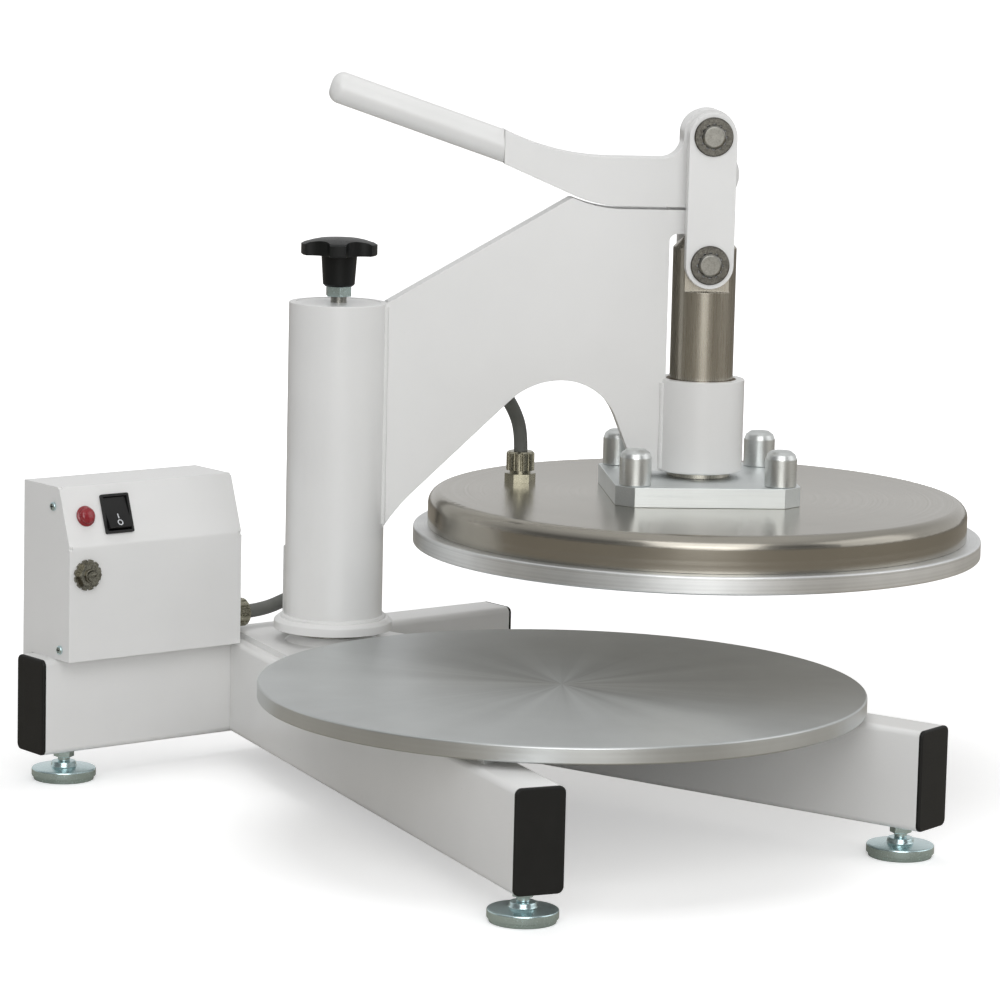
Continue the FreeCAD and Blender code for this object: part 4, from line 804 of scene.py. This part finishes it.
@dataclass(frozen=True)
class StudioRoom:
    """World that is white to the eye, a grey room to mirrors and a soft light to matt surfaces.

    Attributes:
        matt_light: Strength of the light on matt surfaces.
        backdrop_edge: How far ahead a direction points where the dark room ends and the backdrop is full.
        before: Heights and greys of the darker room before the press.
        behind: Heights and greys of the pale backdrop behind it.
    """

    matt_light: float = 0.30
    backdrop_edge: Span = (-0.3, 0.5)
    before: tuple[Span, ...] = ((0.0, 0.22), (0.35, 0.16), (0.7, 0.45), (1.0, 0.8))
    behind: tuple[Span, ...] = ((0.0, 0.80), (0.25, 0.72), (0.6, 0.62), (1.0, 0.8))

    def build(self) -> None:
        """Makes the world."""
        world = bpy.data.worlds.new("studio_world")
        bpy.context.scene.world = world
        world.use_nodes = True
        sheet = NodeSheet(world.node_tree)
        ray = sheet.add("ShaderNodeLightPath").outputs
        by_eye_or_mirror = sheet.number("MAXIMUM", ray["Is Camera Ray"], ray["Is Glossy Ray"])
        seen = sheet.number("MAXIMUM", by_eye_or_mirror, ray["Is Transmission Ray"])
        background = world.node_tree.nodes["Background"]
        sheet.fill(background.inputs["Strength"], sheet.remap(seen, (0.0, 1.0), (self.matt_light, 1.0)))
        sheet.fill(background.inputs["Color"], sheet.mix(ray["Is Glossy Ray"], WHITE, self.room(sheet)))

    def room(self, sheet: NodeSheet) -> Socket:
        """Grey of the room that metal mirrors, by direction.

        Args:
            sheet: The world's sheet.

        Returns:
            The socket of the grey.
        """
        turn = math.radians(VIEW_AZIMUTH)
        direction = sheet.add("ShaderNodeTexCoord").outputs["Generated"]
        ahead = sheet.vector("DOT_PRODUCT", direction, (-math.sin(turn), math.cos(turn), 0.0))
        side = sheet.remap(ahead, self.backdrop_edge, (0.0, 1.0), soft=True)
        rise = sheet.add("ShaderNodeSeparateXYZ", Vector=direction).outputs["Z"]
        return sheet.mix(side, self.ramp(sheet, rise, self.before), self.ramp(sheet, rise, self.behind))

    def ramp(self, sheet: NodeSheet, rise: Socket, stops: tuple[Span, ...]) -> Socket:
        """Grey that changes from the horizon to straight up.

        Args:
            sheet: The world's sheet.
            rise: Height of the direction, from 0 at the horizon to 1 straight up.
            stops: Heights and their greys.

        Returns:
            The socket of the grey.
        """
        node = sheet.add("ShaderNodeValToRGB", Fac=rise)
        node.color_ramp.interpolation = "EASE"
        elements = node.color_ramp.elements
        for element, (height, grey) in zip(elements, (stops[0], stops[-1])):
            element.position = height
            element.color = (grey, grey, grey, 1.0)
        for height, grey in stops[1:-1]:
            elements.new(height).color = (grey, grey, grey, 1.0)
        return node.outputs["Color"]


@dataclass(frozen=True)
class PaleFloor:
    """Wide pale floor just under the feet, which keeps the shadow and is clear from below.

    Attributes:
        half_side: Half of its side, in metres.
        gap: Distance under the feet, in metres.
        colour: Its colour to the eye and to matt surfaces.
        mirrored_colour: Its colour in mirrors.
        dullness: Its roughness.
        shine: Strength of its own reflection.
        glow_from: Distance from the origin within which the glow is least, in metres.
        glow_to: Distance past which it is full, in metres.
        least_glow: The glow near the press, which leaves the shadow there.
    """

    half_side: float = 30.0
    gap: float = 0.02 * MM
    colour: Colour = (0.86, 0.86, 0.86)
    mirrored_colour: Colour = (0.47, 0.43, 0.365)
    dullness: float = 0.9
    shine: float = 0.1
    glow_from: float = 0.45
    glow_to: float = 2.2
    least_glow: float = 0.42

    def build(self) -> None:
        """Makes the floor."""
        shape = bmesh.new()
        bmesh.ops.create_grid(shape, x_segments=1, y_segments=1, size=self.half_side)
        bmesh.ops.translate(shape, verts=shape.verts, vec=(0.0, 0.0, FLOOR_Z - self.gap))
        mesh = bpy.data.meshes.new("floor")
        shape.to_mesh(mesh)
        shape.free()
        floor = bpy.data.objects.new("floor", mesh)
        bpy.context.scene.collection.objects.link(floor)
        dress(floor, self.finish())

    def finish(self) -> bpy.types.Material:
        """Builds the floor's material.

        Returns:
            The material.
        """
        sheet = MaterialSheet("pale_floor")
        ray = sheet.add("ShaderNodeLightPath").outputs
        away = sheet.vector("LENGTH", sheet.place())
        glow = sheet.remap(away, (self.glow_from, self.glow_to), (self.least_glow, 1.0), soft=True)
        from_below = sheet.add("ShaderNodeNewGeometry").outputs["Backfacing"]
        sheet.set(
            Base_Color=sheet.mix(ray["Is Glossy Ray"], self.colour, self.mirrored_colour),
            Roughness=self.dullness,
            Specular_IOR_Level=self.shine,
            Emission_Color=(*WHITE, 1.0),
            Emission_Strength=sheet.number("MULTIPLY", ray["Is Camera Ray"], glow),
            Alpha=sheet.number("SUBTRACT", 1.0, from_below),
        )
        return sheet.material


@dataclass(frozen=True)
class Studio:
    """The photograph's studio: camera, soft lamps, room and floor.

    Attributes:
        camera: The camera.
        lamps: The lamps.
        room: The world.
        floor: The floor.
    """

    camera: PhotoCamera = PhotoCamera()
    lamps: tuple[SoftLamp, ...] = (
        SoftLamp("key", (-2.3, -3.1, 2.4), 3.8, 92.0),
        SoftLamp("fill", (2.2, -2.2, 1.4), 2.4, 18.0),
        SoftLamp("top", (0.2, 0.5, 3.4), 2.4, 40.0, mirrored=False),
        SoftLamp("glint", (-2.0, -3.0, 0.7), 1.8, 14.0, lights_matt=False),
    )
    room: StudioRoom = StudioRoom()
    floor: PaleFloor = PaleFloor()

    def build(self) -> None:
        """Makes the whole studio."""
        self.camera.build()
        for lamp in self.lamps:
            lamp.build()
        self.room.build()
        self.floor.build()
        bpy.context.scene.view_settings.view_transform = "Standard"
        log.info("studio ready")


@dataclass
class HeaterCable:
    """Heater cable from the control box round the column to the platen, in four stretches.

    Attributes:
        diameter: Outer diameter, in metres.
        near_column: Route from the box's gland round the column, measured from the column's axis
            at the lower platen's height, in millimetres.
        on_arm: Route along the arm in the arm's own frame, in millimetres.
        clip_start: Share of the way between the first two points on the arm where the clip takes hold.
        clip_end: Share of that way where the clip lets go.
        bend_past: Share of the last stretch by which its bending runs past its end; not used.
        steps: Steps of the cable between two points of its route.
        side_pairs: Pairs of sides of its round section, past the first four sides.
    """

    diameter: float = 11.2 * MM
    near_column: tuple[Place, ...] = (
        (-31.5, 79.05, 0.7), (-12.5, 79.05, 0.7), (14.0, 80.0, 8.0), (40.0, 74.0, 18.0),
        (58.0, 58.0, 34.0), (64.0, 38.0, 54.0), (57.0, 22.0, 74.0), (47.0, 9.8, 94.0),
    )
    on_arm: tuple[Place, ...] = (
        (50.0, 20.0, 138.0), (56.0, 20.0, 180.0), (72.0, 20.0, 203.0), (95.0, 21.0, 211.0),
        (118.0, 25.0, 203.0), (134.0, 34.0, 188.0), (147.0, 50.0, 169.0), (154.2, 62.0, 149.3),
        (154.2, 62.0, 133.3),
    )
    clip_start: float = 0.35
    clip_end: float = 0.65
    bend_past: float = 0.02
    steps: int = 16
    side_pairs: int = 8

    def build(self, finishes: Finishes) -> None:
        """Makes the four stretches; the held one rides the arm and the other three stay in the row frame.

        Args:
            finishes: The finishes of the press.
        """
        lower = [Vector((x * MM, COLUMN_Y + y * MM, z * MM)) for x, y, z in self.near_column]
        upper = [from_arm(x * MM, y * MM, z * MM) for x, y, z in self.on_arm]
        lift_start = lower[-1].lerp(upper[0], 0.5)
        lift_end = upper[0].lerp(upper[1], self.clip_start)
        leave = upper[0].lerp(upper[1], self.clip_end)
        swing = self.stretch("heater_cable_swing", lower + [lift_start], finishes)
        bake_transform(swing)
        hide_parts("cable_swing_stretch")
        lift = self.stretch("heater_cable_lift", [lift_start, upper[0], lift_end], finishes)
        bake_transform(lift)
        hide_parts("cable_lift_stretch")
        held = self.stretch("heater_cable_held", [lift_end, lift_end.lerp(leave, 0.5), leave], finishes)
        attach(held, Part.ARM.value)
        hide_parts("cable_arm_run")
        loop = self.stretch("heater_cable_loop", [leave] + upper[1:], finishes)
        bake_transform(loop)
        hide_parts("cable_platen_stretch")

    def stretch(self, name: str, points: list[Vector], finishes: Finishes) -> bpy.types.Object:
        """Makes one stretch as a mesh tube along a smooth spline.

        Args:
            name: Name of the piece.
            points: Control points, in metres.
            finishes: The finishes of the press.

        Returns:
            The piece.
        """
        curve = bpy.data.curves.new(name, "CURVE")
        curve.dimensions = "3D"
        curve.resolution_u = self.steps
        curve.bevel_depth = self.diameter / 2.0
        curve.bevel_resolution = self.side_pairs
        spline = curve.splines.new("NURBS")
        spline.points.add(len(points) - 1)
        for point, place in zip(spline.points, points):
            point.co = (*place, 1.0)
        spline.order_u = 3
        spline.use_endpoint_u = True
        source = bpy.data.objects.new(name, curve)
        bpy.context.scene.collection.objects.link(source)
        bpy.context.view_layer.update()
        mesh = bpy.data.meshes.new_from_object(source.evaluated_get(bpy.context.evaluated_depsgraph_get()))
        bpy.data.objects.remove(source)
        bpy.data.curves.remove(curve)
        smooth(mesh)
        piece = bpy.data.objects.new(name, mesh)
        bpy.context.scene.collection.objects.link(piece)
        dress(piece, finishes["cable_rubber"])
        log.info("made %s", name)
        return piece


def new_piece(
    name: str, shape: bmesh.types.BMesh, material: bpy.types.Material, body: Part
) -> bpy.types.Object:
    """Turns a bmesh shape into a smooth-shaded piece that rides a body.

    Args:
        name: Name of the piece.
        shape: The shape in the row frame, in metres, which is freed.
        material: Its finish.
        body: The body that it rides.

    Returns:
        The piece.
    """
    bmesh.ops.recalc_face_normals(shape, faces=shape.faces)
    mesh = bpy.data.meshes.new(name)
    shape.to_mesh(mesh)
    shape.free()
    smooth(mesh)
    mesh.set_sharp_from_angle(angle=SHARP_ANGLE)
    piece = bpy.data.objects.new(name, mesh)
    bpy.context.scene.collection.objects.link(piece)
    dress(piece, material)
    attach(piece, body.value)
    log.info("made %s", name)
    return piece


def add_circle(
    shape: bmesh.types.BMesh, sides: int, radius: float, place: Matrix, filled: bool = False
) -> list[bmesh.types.BMEdge]:
    """Adds a circle of straight sides to a shape.

    Args:
        shape: The shape.
        sides: Number of sides.
        radius: Distance from its middle to its corners, in metres.
        place: Where its middle goes, and how it lies.
        filled: Whether it has a face.

    Returns:
        The circle's edges in order.
    """
    corners = bmesh.ops.create_circle(shape, cap_ends=filled, segments=sides, radius=radius, matrix=place)
    return list(dict.fromkeys(edge for corner in corners["verts"] for edge in corner.link_edges))


@dataclass
class WeldBeads:
    """Painted weld beads round the arm plate's two ends and on the stop collar.

    Attributes:
        radius: Mean radius of a bead, in metres.
        sides: Corners of a bead's section.
        ripple: Length of one ripple along a bead, in metres.
        ripple_share: Share by which the ripples change the radius.
        wander: Length along a bead for one radian of its slow swelling, in metres.
        wander_share: Share by which the swelling changes the radius.
        arm_face: Distance from the arm's middle plane to a bead on its face, in metres.
        root_along: Distance along the arm to the beads at the sleeve, in metres.
        root_heights: Lowest and highest point of these beads, in millimetres.
        guide_along: Distance along the arm to the beads at the guide, in metres.
        guide_heights: Lowest and highest point of these beads, in millimetres.
        collar_radius: Radius of the bead round the sleeve, in metres.
        collar_height: Height of that bead, in metres.
        collar_steps: Sections of that bead.
        upright_from: Rise of a bead's way, out of 1, from which it counts as upright.
        across_upright: Direction that the section of an upright bead is set out from.
        across_level: Direction that the section of a level bead is set out from.
    """

    radius: float = 2.3 * MM
    sides: int = 10
    ripple: float = 2.6 * MM
    ripple_share: float = 0.07
    wander: float = 9.0 * MM
    wander_share: float = 0.08
    arm_face: float = 12.9 * MM
    root_along: float = 37.3 * MM
    root_heights: tuple[int, int] = (84, 258)
    guide_along: float = 259.4 * MM
    guide_heights: tuple[int, int] = (131, 200)
    collar_radius: float = 39.9 * MM
    collar_height: float = 7.0 * MM
    collar_steps: int = 240
    upright_from: float = 0.9
    across_upright: Place = (1.0, 0.0, 0.0)
    across_level: Place = (0.31, 0.17, 0.94)

    def build(self, finishes: Finishes) -> None:
        """Makes the beads.

        Args:
            finishes: The finishes of the press.
        """
        for side, label in ((-1.0, "near"), (1.0, "far")):
            root = self.upright_line(self.root_along, side, self.root_heights)
            guide = self.upright_line(self.guide_along, side, self.guide_heights)
            self.bead("arm_root_bead_" + label, root, finishes)
            self.bead("guide_bead_" + label, guide, finishes)
        start = Vector((self.collar_radius, 0.0, self.collar_height))
        turns = [math.tau * step / self.collar_steps for step in range(self.collar_steps + 1)]
        collar = [COLUMN_AXIS + Matrix.Rotation(turn, 3, "Z") @ start for turn in turns]
        self.bead("collar_bead", collar, finishes)

    def upright_line(self, along: float, side: float, heights: tuple[int, int]) -> list[Vector]:
        """Middle line of an upright bead, with a point at each millimetre.

        Args:
            along: Distance along the arm, in metres.
            side: Face of the arm, -1 for the near one and 1 for the far one.
            heights: Lowest and highest point, in millimetres.

        Returns:
            The points in the row frame.
        """
        lowest, highest = heights
        return [from_arm(along, side * self.arm_face, height * MM) for height in range(lowest, highest + 1)]

    def swell(self, travelled: float) -> float:
        """Radius of a bead as a share of its mean, at a distance along it."""
        ripple = self.ripple_share * math.sin(math.tau * travelled / self.ripple)
        return 1.0 + ripple + self.wander_share * math.sin(travelled / self.wander)

    def bead(self, name: str, points: list[Vector], finishes: Finishes) -> None:
        """Makes one rippled bead along close points.

        Args:
            name: Name of the bead.
            points: Points of its middle line, about a millimetre apart.
            finishes: The finishes of the press.
        """
        shape = bmesh.new()
        last = len(points) - 1
        travelled = 0.0
        before: list[bmesh.types.BMEdge] = []
        for index, point in enumerate(points):
            ahead = (points[min(index + 1, last)] - points[max(index - 1, 0)]).normalized()
            across = self.across_upright if abs(ahead.z) >= self.upright_from else self.across_level
            side = ahead.cross(Vector(across)).normalized()
            section = axes_matrix(side.cross(ahead), side, ahead)
            section.translation = point
            radius = self.radius * self.swell(travelled)
            edges = add_circle(shape, self.sides, radius, section, filled=index in (0, last))
            if before:
                bmesh.ops.bridge_loops(shape, edges=before + edges)
            before = edges
            if index < last:
                travelled += (points[index + 1] - point).length
        new_piece(name, shape, finishes["powder_coat"], Part.ARM)


@dataclass
class PanelMarks:
    """Small marks of the control box: the rocker's plain on and off marks, and dark crosses of painted shade
    in place of the screws' cross recesses.

    Attributes:
        rocker_centre: Middle of the rocker's lower face, in the row frame, in metres.
        rocker_out: Direction out of that face.
        mark_rise: How far the marks stand proud of the face and go into it, in metres.
        ring_radii: Inner and outer radius of the off mark's ring, in metres.
        ring_drop: Distance of the ring below the middle, in metres.
        ring_steps: Steps of the ring.
        bar_size: Width and height of the on mark's bar, in metres.
        bar_lift: Distance of the bar above the middle, in metres.
        screw_faces: Middle of each screw head's outer face, in millimetres.
        shade_cross_arm: Length and width of the arms of a painted-shade cross, in metres.
        shade_cross_thickness: Thickness of a painted-shade cross, in metres.
    """

    rocker_centre: Vector = field(default_factory=lambda: Vector((-0.1730, 0.3411, 0.09169)))
    rocker_out: Vector = field(default_factory=lambda: Vector((0.0, -0.813, 0.583)).normalized())
    mark_rise: float = 0.08 * MM
    ring_radii: Span = (1.6 * MM, 2.5 * MM)
    ring_drop: float = 2.4 * MM
    ring_steps: int = 32
    bar_size: Span = (1.0 * MM, 4.2 * MM)
    bar_lift: float = 3.2 * MM
    screw_faces: tuple[Place, ...] = (
        (-223.2, 350.25, -9.2), (-223.2, 361.05, 103.2), (-56.3, 350.25, -9.2), (-56.3, 361.05, 103.2),
    )
    shade_cross_arm: Span = (4.4 * MM, 0.9 * MM)
    shade_cross_thickness: float = 0.12 * MM

    def build(self, finishes: Finishes) -> None:
        """Makes the marks.

        Args:
            finishes: The finishes of the press.
        """
        self.rocker_marks(finishes)
        self.screw_recess_shades(finishes)

    def rocker_marks(self, finishes: Finishes) -> None:
        """Makes the bar and the ring on the rocker's face.

        Args:
            finishes: The finishes of the press.
        """
        right = Vector((1.0, 0.0, 0.0))
        up = self.rocker_out.cross(right).normalized()
        marks = bmesh.new()
        self.ring(marks)
        bmesh.ops.translate(marks, verts=marks.verts, vec=(0.0, -self.ring_drop, 0.0))
        bar = bmesh.ops.create_cube(marks, size=1.0)["verts"]
        bmesh.ops.scale(marks, verts=bar, vec=(*self.bar_size, 2.0 * self.mark_rise))
        bmesh.ops.translate(marks, verts=bar, vec=(0.0, self.bar_lift, 0.0))
        face = axes_matrix(right, up, self.rocker_out)
        face.translation = self.rocker_centre
        bmesh.ops.transform(marks, verts=marks.verts, matrix=face)
        new_piece("rocker_marks", marks, finishes["white_mark"], Part.ROCKER)

    def ring(self, shape: bmesh.types.BMesh) -> None:
        """Adds the off mark's ring about the origin, from the four circles of its corners.

        Args:
            shape: The shape that it is added to.
        """
        inner, outer = self.ring_radii
        low, high = -self.mark_rise, self.mark_rise
        circles = [
            add_circle(shape, self.ring_steps, radius, Matrix.Translation((0.0, 0.0, rise)))
            for radius, rise in ((outer, low), (outer, high), (inner, high), (inner, low))
        ]
        for first, second in zip(circles, circles[1:] + circles[:1]):
            bmesh.ops.bridge_loops(shape, edges=first + second)

    def screw_recess_shades(self, finishes: Finishes) -> None:
        """Makes a dark cross of painted shade on the head of each cover screw, in place of its cross recess.

        Args:
            finishes: The finishes of the press.
        """
        crosses = bmesh.new()
        for place in self.screw_faces:
            for width, height in (self.shade_cross_arm, self.shade_cross_arm[::-1]):
                verts = bmesh.ops.create_cube(crosses, size=1.0)["verts"]
                bmesh.ops.scale(crosses, verts=verts, vec=(self.shade_cross_thickness, width, height))
                bmesh.ops.translate(crosses, verts=verts, vec=Vector(place) * MM)
        new_piece("screw_recess_shades", crosses, finishes["painted_recess_shade"], Part.FRAME)


def main() -> None:
    """Builds the looks of the press round its frame."""
    logging.basicConfig(level=logging.INFO)
    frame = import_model()
    Studio().build()
    finishes = Finishes()
    HeaterCable().build(finishes)
    WeldBeads().build(finishes)
    PanelMarks().build(finishes)
    for assembly in SUB_ASSEMBLIES:
        assembly.carry_over(frame["nodes"], finishes)


if __name__ == "__main__":
    main()
